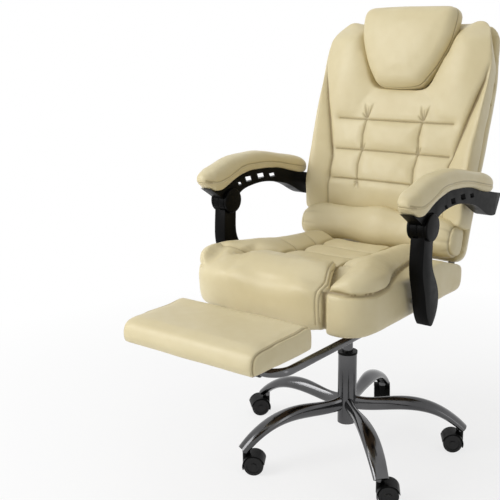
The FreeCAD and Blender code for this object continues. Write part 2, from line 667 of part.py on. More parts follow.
def make_seat_bolsters():
    level = size("seat_bottom") + size("side_height") + size("seat_gap")
    gap = size("seat_gap")
    wide = size("gusset_half") + 2 * gap
    narrow = size("middle_half") + 2 * gap
    outer = size("seat_half")
    front = -size("seat_front")
    taper_end = -size("panel_rear")
    halfway = 0.5 * (front + 20.0 + taper_end)
    rear = size("cushion_rear")
    crown = size("bolster_crown")
    # Each station is (along, share of the crown, inset at the outside, inner edge)
    stations = [
        (front + 8.0, 0.5, 42.0, wide),
        (front + 22.0, 0.8, 20.0, wide),
        (halfway, 1.0, -3.0, 0.5 * (wide + narrow)),
        (taper_end, 0.94, 22.0, narrow),
        (taper_end + 76.0, 0.7, 50.0, narrow),
        (rear - 60.0, 0.5, 70.0, narrow),
        (rear, 0.36, 78.0, narrow),
    ]
    for name, side in SIDES:
        wires = [bolster_profile(along, side, level, share * crown, outer - inset, inner)
                 for along, share, inset, inner in stations]
        room = [Vector(0, 2 * front, 0), Vector(side * wide, 2 * front, 0), Vector(side * wide, front + 20.0, 0),
                Vector(side * narrow, taper_end, 0), Vector(side * narrow, 2 * rear, 0), Vector(0, 2 * rear, 0)]
        middle_room = Part.Face(Part.makePolygon(room + room[:1])).extrude(Vector(0, 0, 2 * level))
        shape = lofted(wires).cut(middle_room)
        label = "seat_bolster_" + name
        node(label, formed(label, shape))


# Steel work under the seat

def make_mechanism():
    """A mounting plate with a box below it. The gas cylinder stands in its socket."""
    plate = box("mounting_plate", "2 * plate_half", "plate_length", "plate_thickness",
                ("-plate_half", "-plate_length / 2", "seat_bottom + seat_recess - plate_thickness"))
    case = box("mechanism_case", "2 * mechanism_half", "mechanism_length", "mechanism_depth",
               ("-mechanism_half", "-mechanism_length / 2",
                "seat_bottom + seat_recess - plate_thickness - mechanism_depth"))
    room = box("mechanism_room", "2 * (mechanism_half - plate_thickness)",
               "mechanism_length - 2 * plate_thickness", "mechanism_depth - plate_thickness",
               ("-(mechanism_half - plate_thickness)", "-(mechanism_length / 2 - plate_thickness)",
                "seat_bottom + seat_recess - mechanism_depth"))
    socket = cylinder("mechanism_socket", "cylinder_radius + 2 * plate_thickness",
                      "cylinder_top - seat_bottom - seat_recess + plate_thickness + mechanism_depth - 4",
                      ("0", "0", "seat_bottom + seat_recess - plate_thickness - mechanism_depth"))
    bore = cylinder("mechanism_bore", "cylinder_radius", "cylinder_top", ("0", "0", "0"))
    slot = box("lever_slot", "1.5 * mechanism_half", "2 * (lever_radius + seat_gap)", "2 * (lever_radius + 0.8)",
               ("-2 * mechanism_half", "lever_across - lever_radius - seat_gap",
                "seat_bottom + seat_recess - lever_below_board - lever_radius - 0.8"))
    hollow = cut("mechanism_hollow", fuse("mechanism_block", [plate, case]), room)
    whole = fuse("mechanism_whole", [hollow, socket])
    node("mechanism", cut("mechanism", whole, fuse("mechanism_openings", [bore, slot])))


def tube_path(points, bend):
    """Straight runs joined by arcs of one bend radius."""
    edges = []
    start = points[0]
    for corner, after in zip(points[1:-1], points[2:]):
        inward = (start - corner).normalize()
        outward = (after - corner).normalize()
        half = 0.5 * inward.getAngle(outward)
        reach = bend / math.tan(half)
        arc_start = corner + inward * reach
        arc_end = corner + outward * reach
        middle = corner + (inward + outward).normalize() * (bend / math.sin(half) - bend)
        edges.append(Part.makeLine(start, arc_start))
        edges.append(Part.Arc(arc_start, middle, arc_end).toShape())
        start = arc_end
    edges.append(Part.makeLine(start, points[-1]))
    return Part.Wire(edges)


def tube_along(path, radius):
    start = path.Edges[0].Vertexes[0].Point
    direction = path.Edges[0].tangentAt(path.Edges[0].FirstParameter)
    profile = Part.Wire([Part.makeCircle(radius, start, direction)])
    return path.makePipeShell([profile], True, True)


def make_height_lever():
    """A bent rod on the sitter's right that lifts to press the valve."""
    level = size("seat_bottom") + size("seat_recess") - size("lever_below_board")
    across = size("lever_across")
    low = level - size("lever_drop")
    inner = -(size("mechanism_half") - 3.0 * size("plate_thickness"))
    bend = -0.62 * size("lever_reach")
    path = tube_path([
        Vector(inner, across, level),
        Vector(bend, across, level),
        Vector(bend - 34.0, across, low),
        Vector(-size("lever_reach") + 60.0, across, low),
    ], 3.0 * size("lever_radius"))
    rod = tube_along(path, size("lever_radius"))
    grip_start = Vector(-size("lever_reach") + 60.0, across, low)
    grip = lofted([
        rounded_wire([(across - w, low - t, 2.0), (across + w, low - t, 2.0),
                      (across + w, low + t, 2.0), (across - w, low + t, 2.0)],
                     lambda a, b, x=grip_start.x - run: Vector(x, a, b))
        for run, w, t in ((-6.0, 6.0, 5.5), (18.0, 9.0, 6.0), (60.0, 13.0, 4.5))
    ])
    node("height_lever", formed("height_lever", rod.fuse(grip).removeSplitter()))


def make_seat_bolts():
    """Four bolts that hold the mounting plate to the board."""
    bolts = []
    for number, (across, along) in enumerate(((1, 1), (1, -1), (-1, 1), (-1, -1))):
        at_x = "%d * (plate_half - 14)" % across
        at_y = "%d * (plate_length / 2 - 20)" % along
        top = "seat_bottom + seat_recess - plate_thickness"
        bolts.append(cylinder("seat_bolt_%d" % number, "bolt_head_radius", "bolt_head_height",
                              (at_x, at_y, top + " - bolt_head_height")))
    node("seat_bolts", gather("seat_bolts", bolts))


def post_bracket_room(side):
    """The pocket in the seat padding for the bracket that carries a post."""
    gap = size("seat_gap")
    start = size("board_half") + gap
    width = size("post_web") + 2 * gap
    room = Part.makeBox(width, 56 + 2 * gap, 64 + 12 + gap)
    corner = Vector(start - gap, -size("post_pin_front") - 28 - gap, size("seat_bottom") - 1)
    if side < 0:
        corner.x = -start + gap - width
    room.translate(corner)
    return room


def post_pin_room(side):
    gap = size("seat_gap")
    start = Vector(side * size("board_half"), -size("post_pin_front"), size("post_pin_height"))
    return Part.makeCylinder(size("arm_pin_radius") + gap, size("seat_half"), start, Vector(side, 0, 0))


def make_post_brackets():
    """Steel angles on the edges of the board, with a hole for each post pin."""
    pieces = []
    for name, side in SIDES:
        start = "board_half + seat_gap" if side > 0 else "-board_half - seat_gap - post_web"
        web = box("post_web_" + name, "post_web", "56", "56",
                  (start, "-post_pin_front - 28", "seat_bottom + seat_recess - post_web"))
        flange_start = "board_half - 36" if side > 0 else "-board_half - seat_gap"
        flange = box("post_flange_" + name, "36 + seat_gap", "56", "post_web",
                     (flange_start, "-post_pin_front - 28", "seat_bottom + seat_recess - post_web"))
        hole = cylinder("post_hole_" + name, "arm_pin_radius", "4 * post_web",
                        ("%d * board_half - 2 * post_web" % side, "-post_pin_front", "post_pin_height"), ACROSS)
        pieces.append(cut("post_bracket_" + name, fuse("post_angle_" + name, [web, flange]), hole))
    node("post_brackets", gather("post_brackets", pieces))


def make_recline_brackets():
    """Plates under the board that carry the recline hinge behind the seat."""
    board = size("seat_bottom") + size("seat_recess")
    low = size("seat_bottom") - 0.5
    rear = size("hinge_rear")
    height = size("hinge_height")
    eye = size("hinge_eye")
    outline = [
        (60.0, board), (60.0, board - 18.0), (size("board_rear"), low - 14.0), (rear, height - eye),
        (rear + eye, height), (rear - eye, height), (rear - eye - 6.0, low), (size("board_rear") - 0.5, low),
        (size("board_rear") - 6.0, board),
    ]
    pieces = []
    for name, side in SIDES:
        inner = "back_board_half + plate_thickness + seat_gap"
        start = inner if side > 0 else "-(%s) - plate_thickness" % inner
        pieces.append(side_plate("recline_bracket_" + name, straight_edges(outline), start, "plate_thickness",
                                 discs=[(rear, height, "hinge_eye")], holes=[(rear, height, "hinge_pin")]))
    node("recline_brackets", gather("recline_brackets", pieces))


def make_recline_pins():
    pins = []
    for name, side in SIDES:
        start = "back_board_half - 4" if side > 0 else "-(back_board_half + 2 * plate_thickness + 6)"
        pins.append(cylinder("recline_pin_" + name, "hinge_pin", "2 * plate_thickness + 10",
                             (start, "hinge_rear", "hinge_height"), ACROSS))
    node("recline_pins", gather("recline_pins", pins))


def make_post_pins():
    pins = []
    for name, side in SIDES:
        start = "board_half + seat_gap" if side > 0 else "-(arm_plane + arm_width / 2 - 3)"
        pins.append(cylinder("post_pin_" + name, "arm_pin_radius",
                             "arm_plane + arm_width / 2 - 3 - board_half - seat_gap",
                             (start, "-post_pin_front", "post_pin_height"), ACROSS))
    node("post_pins", gather("post_pins", pins))


# Footrest: a bent tube that slides in two guides and carries a pad that turns over

def make_footrest_guides():
    guides = []
    for name, side in SIDES:
        centre = "%d * rail_half" % side
        outer = cylinder("guide_sleeve_" + name, "rail_radius + guide_wall", "guide_length",
                         (centre, "-guide_front + guide_length", "rail_height"), ALONG)
        hanger = box("guide_hanger_" + name, "2 * guide_wall", "guide_length",
                     "seat_bottom + seat_recess - rail_height",
                     (centre + " - guide_wall", "-guide_front", "rail_height"))
        flange = box("guide_flange_" + name, "44", "guide_length", "guide_wall",
                     (centre + " - 22", "-guide_front", "seat_bottom + seat_recess - guide_wall"))
        bore = cylinder("guide_bore_" + name, "rail_radius + running_gap", "2 * guide_length",
                        (centre, "-guide_front + 1.5 * guide_length", "rail_height"), ALONG)
        guides.append(cut("guide_" + name, fuse("guide_block_" + name, [outer, hanger, flange]), bore))
    node("footrest_guides", gather("footrest_guides", guides))


def make_footrest_tube():
    level = size("rail_height")
    half = size("rail_half")
    front = -size("rail_front")
    end = -size("rail_end")
    path = tube_path([
        Vector(half, end, level), Vector(half, front, level),
        Vector(-half, front, level), Vector(-half, end, level),
    ], size("rail_bend"))
    shape = tube_along(path, size("rail_radius")).cut(tube_along(path, size("rail_radius") - size("rail_wall")))
    node("footrest_tube", formed("footrest_tube", shape))


def make_footrest_clips():
    clips = []
    for name, side in SIDES:
        start = "%d * clip_across - clip_width / 2" % side
        ring = cylinder("clip_ring_" + name, "rail_radius + guide_wall", "clip_width",
                        (start, "-rail_front", "rail_height"), ACROSS)
        foot = box("clip_foot_" + name, "clip_width", "1.6 * rail_radius", "foot_board_height - rail_height",
                   (start, "-rail_front - 0.8 * rail_radius", "rail_height"))
        plate = box("clip_plate_" + name, "clip_width", "7 * rail_radius", "guide_wall",
                    (start, "-rail_front - 3.5 * rail_radius", "foot_board_height - guide_wall"))
        bore = cylinder("clip_bore_" + name, "rail_radius + running_gap", "3 * clip_width",
                        ("%d * clip_across - 1.5 * clip_width" % side, "-rail_front", "rail_height"), ACROSS)
        clips.append(cut("clip_" + name, fuse("clip_block_" + name, [ring, foot, plate]), bore))
    node("footrest_clips", gather("footrest_clips", clips))


def footrest_profile(across, inset):
    """The side view of the footrest pad: level below, with a full round edge in front."""
    front = inset - size("foot_pad_front")
    rear = size("foot_pad_length") - size("foot_pad_front") - inset
    low = size("foot_board_height") + inset
    high = size("foot_board_height") + size("foot_pad_height") - inset
    corner = size("foot_pad_corner")
    return rounded_wire([
        (front, low, 5.0),
        (rear, low, 5.0),
        (rear, high, 0.8 * corner - inset),
        (front, high, corner - inset),
    ], lambda a, b: Vector(across, a, b))


def make_footrest_pad():
    margin = "foot_board_margin"
    board = box("footrest_board", "2 * (foot_pad_half - %s)" % margin, "foot_pad_length - 2 * " + margin,
                "foot_board_thickness",
                ("-(foot_pad_half - %s)" % margin, "-foot_pad_front + " + margin, "foot_board_height"))
    node("footrest_board", board)
    half = size("foot_pad_half")
    front = size("foot_pad_front")
    length = size("foot_pad_length")
    bottom = size("foot_board_height")
    end = size("foot_pad_end")
    wires = [footrest_profile(across, inset) for across, inset in
             [(-half, end), (-half + 0.3 * end, 0.3 * end), (-half + end, 0.0),
              (half - end, 0.0), (half - 0.3 * end, 0.3 * end), (half, end)]]
    gap = size("seat_gap")
    inset = size("foot_board_margin") - gap
    pocket = Part.makeBox(2 * (half - inset), length - 2 * inset,
                          size("foot_board_thickness") + gap + 1,
                          Vector(-(half - inset), -front + inset, bottom - 1))
    node("footrest_pad", formed("footrest_pad", Part.makeLoft(wires, True, True).cut(pocket)))


# Backrest: a board between rear and front padding, a lumbar roll and a head pillow

def back_placement():
    """Sets the back's own frame: X across, Y towards its rear, Z up along its lean."""
    return Placement(Vector(0, size("back_foot_rear"), size("back_foot_height")),
                     Rotation(Vector(1, 0, 0), -size("back_tilt")))


def in_back(y, z):
    """A point of the side view in the back's own frame."""
    return back_placement().inverse().multVec(Vector(0, y, z))


def back_outline(inset, top_inset, foot_inset):
    """The front view of the back: a little wider at the shoulders than at the seat."""
    foot = size("back_foot_half") - inset
    wide = size("back_half") - inset
    shoulder = 0.93 * size("back_half") - inset
    top = size("back_length") - top_inset
    right = [(foot, foot_inset, 30.0), (wide, size("back_widest") - top_inset, 300.0),
             (shoulder, top, size("shoulder_radius"))]
    return right + [(-a, b, r) for a, b, r in reversed(right)]


def back_half_at(along):
    """Half the width of the back at one height along its lean."""
    foot = size("back_foot_half")
    wide = size("back_half")
    share = min(1.0, along / size("back_widest"))
    radius = size("shoulder_radius")
    over = along - (size("back_length") - radius)
    half = foot + (wide - foot) * share
    if over <= 0:
        return half
    return 0.96 * wide - radius + math.sqrt(max(0.0, radius * radius - over * over))


def back_cuts():
    """Room in the padding for the arm pins and the hinge brackets."""
    gap = size("seat_gap")
    pin = in_back(size("arm_pin_rear"), size("arm_pin_height"))
    rooms = []
    for _, side in SIDES:
        rooms.append(Part.makeCylinder(size("arm_pin_radius") + gap, size("back_half"),
                                       Vector(side * (size("back_board_half") - 40), pin.y, pin.z),
                                       Vector(side, 0, 0)))
        width = size("plate_thickness") + 2 * gap
        start = size("back_board_half") - gap
        front = pad_base() + EYE_LIP
        corner = Vector(start if side > 0 else -start - width, -front, -10.0)
        rooms.append(Part.makeBox(width, front - 10.0, BRACKET_END + 10 + gap, corner))
    return rooms


def back_board_outline():
    half = size("back_board_half")
    low = size("back_board_start")
    high = size("back_board_end")
    corner = 70.0
    return [(half, low), (half, high - corner), (half - corner, high), (-half + corner, high),
            (-half, high - corner), (-half, low)]


def make_back_board():
    body = doc.addObject("PartDesign::Body", "back_board")
    sketch = sketch_in(body, "back_board_outline", straight_edges(back_board_outline()))
    plate = body.newObject("PartDesign::Pad", "back_board_plate")
    plate.Profile = sketch
    bind(plate, "Length", "back_board_depth")
    stand = Placement(Vector(0, -size("rear_pad_depth"), 0), Rotation(Vector(1, 0, 0), 90))
    body.Placement = back_placement().multiply(stand)
    node("back_board", body)


def make_back_rear_pad():
    depth = size("rear_pad_depth") + size("back_board_depth")
    # Each level is (share of the depth, inset at the sides, inset at the top, inset at the foot)
    levels = [(0.0, 34.0, 92.0, 12.0), (0.1, 22.0, 58.0, 3.0), (0.35, 14.0, 30.0, 0.0),
              (0.7, 6.0, 12.0, 0.0), (1.0, 1.0, 4.0, 0.0)]
    wires = []
    for share, inset, top_inset, foot_inset in levels:
        corners = back_outline(inset, top_inset, foot_inset)
        wires.append(rounded_wire(corners, lambda a, b, y=-share * depth: Vector(a, y, b)))
    shape = lofted(wires)
    gap = size("seat_gap")
    board = [Vector(a, -size("rear_pad_depth") + gap, b) for a, b in back_board_outline()]
    pocket = Part.Face(Part.makePolygon(board + board[:1]).makeOffset2D(gap))
    shape = shape.cut(pocket.extrude(Vector(0, -2 * size("back_board_depth"), 0)))
    for room in back_cuts():
        shape = shape.cut(room)
    node("back_rear_pad", formed("back_rear_pad", shape, back_placement()))


def pad_base():
    """The plane where the front padding meets the rear padding, from the rear of the back."""
    return size("rear_pad_depth") + size("back_board_depth") + size("seat_gap")


def front_section(along, crest, valley, crown):
    """The top view of the front padding: two bolsters beside a crowned middle."""
    base = pad_base()
    half = back_half_at(along)
    seam = 0.72 * half
    ridge = 0.85 * half
    rise = crest - base
    tuck = min(0.5 * rise, max(1.0, 0.3 * (along - size("back_widest"))))
    right = [
        (half - tuck, -base, 2.0),
        (half, -(base + 0.7 * rise), 0.25 * rise),
        (ridge, -crest, 0.2 * rise),
        (seam, -valley, 6.0),
    ]
    middle = [(0.0, -crown, 500.0)]
    left = [(-a, b, r) for a, b, r in reversed(right)]
    return rounded_wire(right + middle + left, lambda a, b: Vector(a, b, along))


def front_stations():
    """Heights along the lean, each with the bolster crest, the seams and the crown of the middle."""
    start = size("lumbar_length") + 3.0
    end = size("back_length")
    return [
        (start, 118.0, 92.0, 102.0),
        (start + 22.0, 136.0, 103.0, 114.0),
        (220.0, 148.0, 107.0, 119.0),
        (320.0, 155.0, 105.0, 116.0),
        (400.0, 160.0, 101.0, 109.0),
        (480.0, 160.0, 97.0, 102.0),
        (545.0, 158.0, 93.0, 96.0),
        (590.0, 148.0, 86.0, 88.0),
        (end - 14.0, 116.0, 77.0, 79.0),
        (end - 4.0, 90.0, 69.0, 70.0),
    ]


def front_depths(along):
    """The seam depth and the crown depth of the front padding at one height."""
    rows = front_stations()
    for low, high in zip(rows, rows[1:]):
        if low[0] <= along <= high[0]:
            share = (along - low[0]) / (high[0] - low[0])
            return low[2] + share * (high[2] - low[2]), low[3] + share * (high[3] - low[3])
    return rows[-1][2], rows[-1][3]


def groove(start, end, radius):
    """A round groove between two points."""
    run = end - start
    return Part.makeCylinder(radius, run.Length, start, run)


def sewn_grooves():
    """Three rows of stitching across the middle and two seams that join them."""
    rows = [180.0, 262.0, 346.0]
    width = 4.0
    grooves = []
    for along in rows:
        valley, crown = front_depths(along)
        seam = 0.72 * back_half_at(along)
        for side in (-1, 1):
            grooves.append(groove(Vector(side * seam, -valley, along), Vector(0, -crown, along), width))
    for low, high in zip(rows, rows[1:]):
        ends = []
        for along in (low, high):
            valley, crown = front_depths(along)
            ends.append(crown + (valley - crown) * TUFT_ACROSS / (0.72 * back_half_at(along)))
        for side in (-1, 1):
            grooves.append(groove(Vector(side * TUFT_ACROSS, -ends[0], low),
                                  Vector(side * TUFT_ACROSS, -ends[1], high), width))
    return grooves


def make_back_front_pad():
    shape = lofted([front_section(*row) for row in front_stations()])
    for tool in sewn_grooves() + back_cuts() + [head_pillow_form(-size("seat_gap"))]:
        shape = shape.cut(tool)
    node("back_front_pad", formed("back_front_pad", shape, back_placement()))


def make_lumbar_roll():
    base = pad_base()
    depth = size("lumbar_depth")
    length = size("lumbar_length")
    half = size("back_foot_half")
    stations = [(-1.0, 20.0), (-0.95, 8.0), (-0.7, 1.0), (0.0, 0.0), (0.7, 1.0), (0.95, 8.0), (1.0, 20.0)]
    wires = []
    for share, inset in stations:
        front = -(base + depth - inset)
        low = 3.0 + inset
        high = length + 2.0 - inset
        radius = 0.4 * (high - low)
        wires.append(rounded_wire([
            (-base, low, 6.0), (-base, high, 6.0), (front, high, radius), (front, low, radius),
        ], lambda a, b, x=share * (half - 4.0): Vector(x, a, b)))
    node("lumbar_roll", formed("lumbar_roll", lofted(wires), back_placement()))


def head_pillow_form(inward):
    """The head pillow, made smaller all round by a small amount."""
    low = size("head_start")
    high = size("head_end")
    base = size("head_base")
    depth = size("head_depth")
    levels = [(0.0, 5.0), (0.1, 1.0), (0.45, 0.0), (0.75, 4.0), (0.93, 15.0), (1.0, 30.0)]
    wires = []
    for share, extra in levels:
        inset = extra + inward
        narrow = size("head_low_half") - 0.8 * inset
        wide = size("head_top_half") - inset
        right = [
            (narrow, low + inset, 36.0 - 0.5 * inset),
            (0.93 * wide, 0.42 * low + 0.58 * high, 90.0),
            (wide, high - inset, 26.0 - 0.5 * inset),
        ]
        corners = right + [(-a, b, r) for a, b, r in reversed(right)]
        reach = base + share * depth + (inward if share == 0.0 else -inward)
        wires.append(rounded_wire(corners, lambda a, b, y=-reach: Vector(a, y, b)))
    return lofted(wires)


def make_head_pillow():
    node("head_pillow", formed("head_pillow", head_pillow_form(0.0), back_placement()))


def make_back_brackets():
    """Plates on the edges of the back board that reach down to the hinge."""
    frame = back_placement()
    low = -(size("rear_pad_depth") + size("back_board_depth"))
    points = [frame.multVec(Vector(0, low, BRACKET_END)), frame.multVec(Vector(0, low, 20.0)),
              frame.multVec(Vector(0, low + BRACKET_DEPTH, 20.0)),
              frame.multVec(Vector(0, low + 0.8 * BRACKET_DEPTH, BRACKET_END))]
    rear = size("hinge_rear")
    height = size("hinge_height")
    eye = size("hinge_eye") - 1.0
    pin_y = size("arm_pin_rear")
    pin_z = size("arm_pin_height")
    outline = [
        (points[0].y, points[0].z), (points[1].y, points[1].z), (rear - eye, height),
        (rear, height - eye), (rear + eye, height), (points[2].y, points[2].z), (points[3].y, points[3].z),
    ]
    pieces = []
    for name, side in SIDES:
        start = "back_board_half" if side > 0 else "-back_board_half - plate_thickness"
        pieces.append(side_plate("back_bracket_" + name, straight_edges(outline), start, "plate_thickness",
                                 discs=[(rear, height, "hinge_eye - 0.5"), (pin_y, pin_z, "2 * arm_pin_radius")],
                                 holes=[(rear, height, "hinge_pin + running_gap"),
                                        (pin_y, pin_z, "arm_pin_radius")]))
    node("back_brackets", gather("back_brackets", pieces))


def make_release_lever():
    """A short lever on the sitter's right that frees the recline lock."""
    outer = size("back_board_half") + 2 * size("plate_thickness") + 4 * size("seat_gap")
    rear = size("hinge_rear")
    height = size("hinge_height")
    end = height - size("release_length")
    lean = 0.6 * size("release_length")
    outline = [(rear - 8.0, height), (rear + lean - 5.0, end), (rear + lean + 5.0, end + 5.0), (rear + 8.0, height)]
    piece = side_plate("release_lever", straight_edges(outline), "-(%s)" % (outer + 5.0), "5",
                       discs=[(rear, height, "10")], holes=[(rear, height, "hinge_pin + running_gap")])
    node("release_lever", piece)


def make_arm_pins():
    pins = []
    for name, side in SIDES:
        start = "back_board_half + seat_gap" if side > 0 else "-(arm_plane + arm_width / 2 - 3)"
        pins.append(cylinder("arm_pin_" + name, "arm_pin_radius",
                             "arm_plane + arm_width / 2 - 3 - back_board_half - seat_gap",
                             (start, "arm_pin_rear", "arm_pin_height"), ACROSS))
    node("arm_pins", gather("arm_pins", pins))


# Arms: each has an upper arm on the back, a post on the seat and an elbow between them

def arm_curves():
    """The side view of an upper arm."""
    ey = -size("elbow_front")
    ez = size("elbow_height")
    py = size("arm_pin_rear")
    pz = size("arm_pin_height")
    tip = (ey - 78.0, ez + 39.0)
    rear_top = (py + 32.0, pz + 27.0)
    rear_low = (py + 2.0, pz - 24.0)
    under_elbow = (ey - 30.0, ez + 8.0)
    top = smooth_edge([tip, (ey - 42.0, ez + 32.0), (ey - 4.0, ez + 47.0), (ey + 32.0, ez + 64.0),
                       (ey + 76.0, ez + 71.0), (ey + 128.0, ez + 71.0), (py - 152.0, pz + 66.0),
                       (py - 66.0, pz + 47.0), rear_top])
    low = smooth_edge([rear_low, (py - 64.0, pz - 9.0), (py - 108.0, pz + 13.0), (py - 157.0, pz + 27.0),
                       (ey + 126.0, ez + 31.0), (ey + 82.0, ez + 28.0), (ey + 44.0, ez + 19.0),
                       (ey + 24.0, ez + 4.0)])
    return [
        top,
        Part.LineSegment(Vector(*rear_top, 0), Vector(*rear_low, 0)),
        low,
        Part.LineSegment(Vector(ey + 24.0, ez + 4.0, 0), Vector(*under_elbow, 0)),
        Part.LineSegment(Vector(*under_elbow, 0), Vector(*tip, 0)),
    ]


def arm_windows():
    """Four slanted windows along the front half of an upper arm."""
    ey = -size("elbow_front")
    ez = size("elbow_height")
    windows = []
    for along, level, length, height in ((34.0, 38.0, 12.0, 9.0), (70.0, 46.0, 22.0, 14.0),
                                         (122.0, 48.0, 24.0, 14.0), (172.0, 44.0, 20.0, 11.0)):
        corners = [Vector(0, ey + along - length / 2 - 3.0, ez + level + height / 2),
                   Vector(0, ey + along + length / 2 - 3.0, ez + level + height / 2),
                   Vector(0, ey + along + length / 2 + 3.0, ez + level - height / 2),
                   Vector(0, ey + along - length / 2 + 3.0, ez + level - height / 2)]
        windows.append(Part.Face(Part.makePolygon(corners + corners[:1])).extrude(Vector(400, 0, 0)))
    return Part.makeCompound(windows)


def make_upper_arms():
    """Makes both arms and returns the plain beam of each, on which its pad sits."""
    beams = {}
    for name, side in SIDES:
        start = "%d * arm_plane - arm_width / 2" % side
        beam = side_plate("arm_beam_" + name, arm_curves(), start, "arm_width")
        doc.recompute()
        beams[name] = beam.Shape.copy()
        inner = "arm_plane - arm_width / 2" if side > 0 else "-arm_plane + seat_gap"
        ear = cylinder("arm_ear_" + name, "elbow_radius", "arm_width / 2 - seat_gap",
                       (inner, "-elbow_front", "elbow_height"), ACROSS)
        outer = "arm_plane - seat_gap" if side > 0 else "-arm_plane - arm_width"
        room = cylinder("arm_room_" + name, "elbow_radius + elbow_play", "arm_width + seat_gap",
                        (outer, "-elbow_front", "elbow_height"), ACROSS)
        pin_hole = cylinder("arm_elbow_hole_" + name, "elbow_pin + elbow_play", "2 * arm_width",
                            ("%d * arm_plane - arm_width" % side, "-elbow_front", "elbow_height"), ACROSS)
        rear_hole = cylinder("arm_rear_hole_" + name, "arm_pin_radius + running_gap", "arm_width",
                             ("%d * arm_plane - arm_width / 2 - %d" % (side, 3 * side),
                              "arm_pin_rear", "arm_pin_height"), ACROSS)
        slots = formed("arm_slots_" + name, arm_windows(),
                       Placement(Vector(0 if side > 0 else -400, 0, 0), Rotation()))
        eared = fuse("arm_eared_" + name, [cut("arm_roomed_" + name, beam, room), ear])
        holes = fuse("arm_holes_" + name, [pin_hole, rear_hole, slots])
        node("upper_arm_" + name, cut("upper_arm_" + name, eared, holes))
    return beams


def make_arm_pads(beams):
    ey = -size("elbow_front")
    ez = size("elbow_height")
    py = size("arm_pin_rear")
    pz = size("arm_pin_height")
    half = size("arm_pad_half")
    height = size("arm_pad_height") + 5.0
    # Each station is (along, level of the underside, share of the width, share of the height, lean)
    stations = [
        (ey - 84.0, ez + 47.0, 0.55, 0.42, 70.0),
        (ey - 66.0, ez + 34.5, 0.9, 0.95, 52.0),
        (ey - 30.0, ez + 36.0, 1.0, 1.16, 38.0),
        (ey + 20.0, ez + 56.5, 1.0, 1.1, 22.0),
        (ey + 76.0, ez + 68.0, 1.0, 1.0, 4.0),
        (ey + 140.0, ez + 68.0, 1.0, 0.95, -4.0),
        (py - 110.0, pz + 55.0, 0.98, 0.92, -10.0),
        (py - 50.0, pz + 41.0, 0.92, 0.86, -12.0),
        (py - 28.0, pz + 42.0, 0.6, 0.5, -14.0),
    ]
    for name, side in SIDES:
        wires = []
        for along, level, broad, tall, lean in stations:
            wide = half * broad
            high = height * tall
            turn = math.radians(lean)
            wires.append(rounded_wire([
                (-wide, 0.0, 0.16 * high), (wide, 0.0, 0.16 * high),
                (wide, high, 0.42 * high), (-wide, high, 0.42 * high),
            ], lambda a, b, y=along, z=level, t=turn: Vector(
                side * size("arm_plane") + a, y - b * math.sin(t), z + b * math.cos(t))))
        label = "arm_pad_" + name
        node(label, formed(label, lofted(wires).cut(beams[name])))


def post_curves():
    """The side view of a post."""
    ey = -size("elbow_front")
    ez = size("elbow_height")
    py = -size("post_pin_front")
    pz = size("post_pin_height")
    front = [(ey - 24.0, ez - 8.0), (ey - 28.0, ez - 62.0), (ey - 27.0, ez - 104.0), (py - 38.0, pz + 30.0),
             (py - 28.0, pz - 12.0), (py - 10.0, pz - 46.0)]
    rear = [(py + 8.0, pz - 46.0), (py + 24.0, pz - 22.0), (py + 30.0, pz + 12.0), (py + 16.0, pz + 52.0),
            (ey + 20.0, ez - 92.0), (ey + 17.0, ez - 54.0), (ey + 19.0, ez - 8.0)]
    return [
        smooth_edge(front),
        Part.Arc(Vector(*front[-1], 0), Vector(py - 1.0, pz - 51.0, 0), Vector(*rear[0], 0)),
        smooth_edge(rear),
        Part.LineSegment(Vector(*rear[-1], 0), Vector(*front[0], 0)),
    ]


def make_posts():
    for name, side in SIDES:
        start = "%d * arm_plane - arm_width / 2" % side
        beam = side_plate("post_beam_" + name, post_curves(), start, "arm_width")
        outer = "arm_plane + seat_gap" if side > 0 else "-arm_plane - arm_width / 2"
        ear = cylinder("post_ear_" + name, "elbow_radius", "arm_width / 2 - seat_gap",
                       (outer, "-elbow_front", "elbow_height"), ACROSS)
        inner = "arm_plane - arm_width" if side > 0 else "-arm_plane - seat_gap"
        room = cylinder("post_room_" + name, "elbow_radius + elbow_play", "arm_width + seat_gap",
                        (inner, "-elbow_front", "elbow_height"), ACROSS)
        pin_hole = cylinder("post_elbow_hole_" + name, "elbow_pin", "2 * arm_width",
                            ("%d * arm_plane - arm_width" % side, "-elbow_front", "elbow_height"), ACROSS)
        low_hole = cylinder("post_low_hole_" + name, "arm_pin_radius + running_gap", "arm_width",
                            ("%d * arm_plane - arm_width / 2 - %d" % (side, 3 * side),
                             "-post_pin_front", "post_pin_height"), ACROSS)
        eared = fuse("post_eared_" + name, [cut("post_roomed_" + name, beam, room), ear])
        node("arm_post_" + name, cut("arm_post_" + name, eared, fuse("post_holes_" + name, [pin_hole, low_hole])))


def make_elbow_pins():
    """A pin with a broad ribbed cap at each end holds the arm to the post."""
    for name, side in SIDES:
        bar = cylinder("elbow_bar_" + name, "elbow_pin", "arm_width",
                       ("%d * arm_plane - arm_width / 2" % side, "-elbow_front", "elbow_height"), ACROSS)
        outer_start = "arm_plane + arm_width / 2" if side > 0 else "-arm_plane - arm_width / 2 - elbow_cap"
        outer = cylinder("elbow_outer_cap_" + name, "elbow_radius", "elbow_cap",
                         (outer_start, "-elbow_front", "elbow_height"), ACROSS)
        inner_start = ("arm_plane - arm_width / 2 - elbow_cap - seat_gap" if side > 0
                       else "-arm_plane + arm_width / 2 + seat_gap")
        inner = cylinder("elbow_inner_cap_" + name, "elbow_radius", "elbow_cap",
                         (inner_start, "-elbow_front", "elbow_height"), ACROSS)
        neck_start = "%d * arm_plane - arm_width / 2 - seat_gap" % side
        neck = cylinder("elbow_neck_" + name, "elbow_pin", "arm_width + 2 * seat_gap",
                        (neck_start, "-elbow_front", "elbow_height"), ACROSS)
        node("elbow_pin_" + name, fuse("elbow_pin_" + name, [bar, neck, outer, inner]))


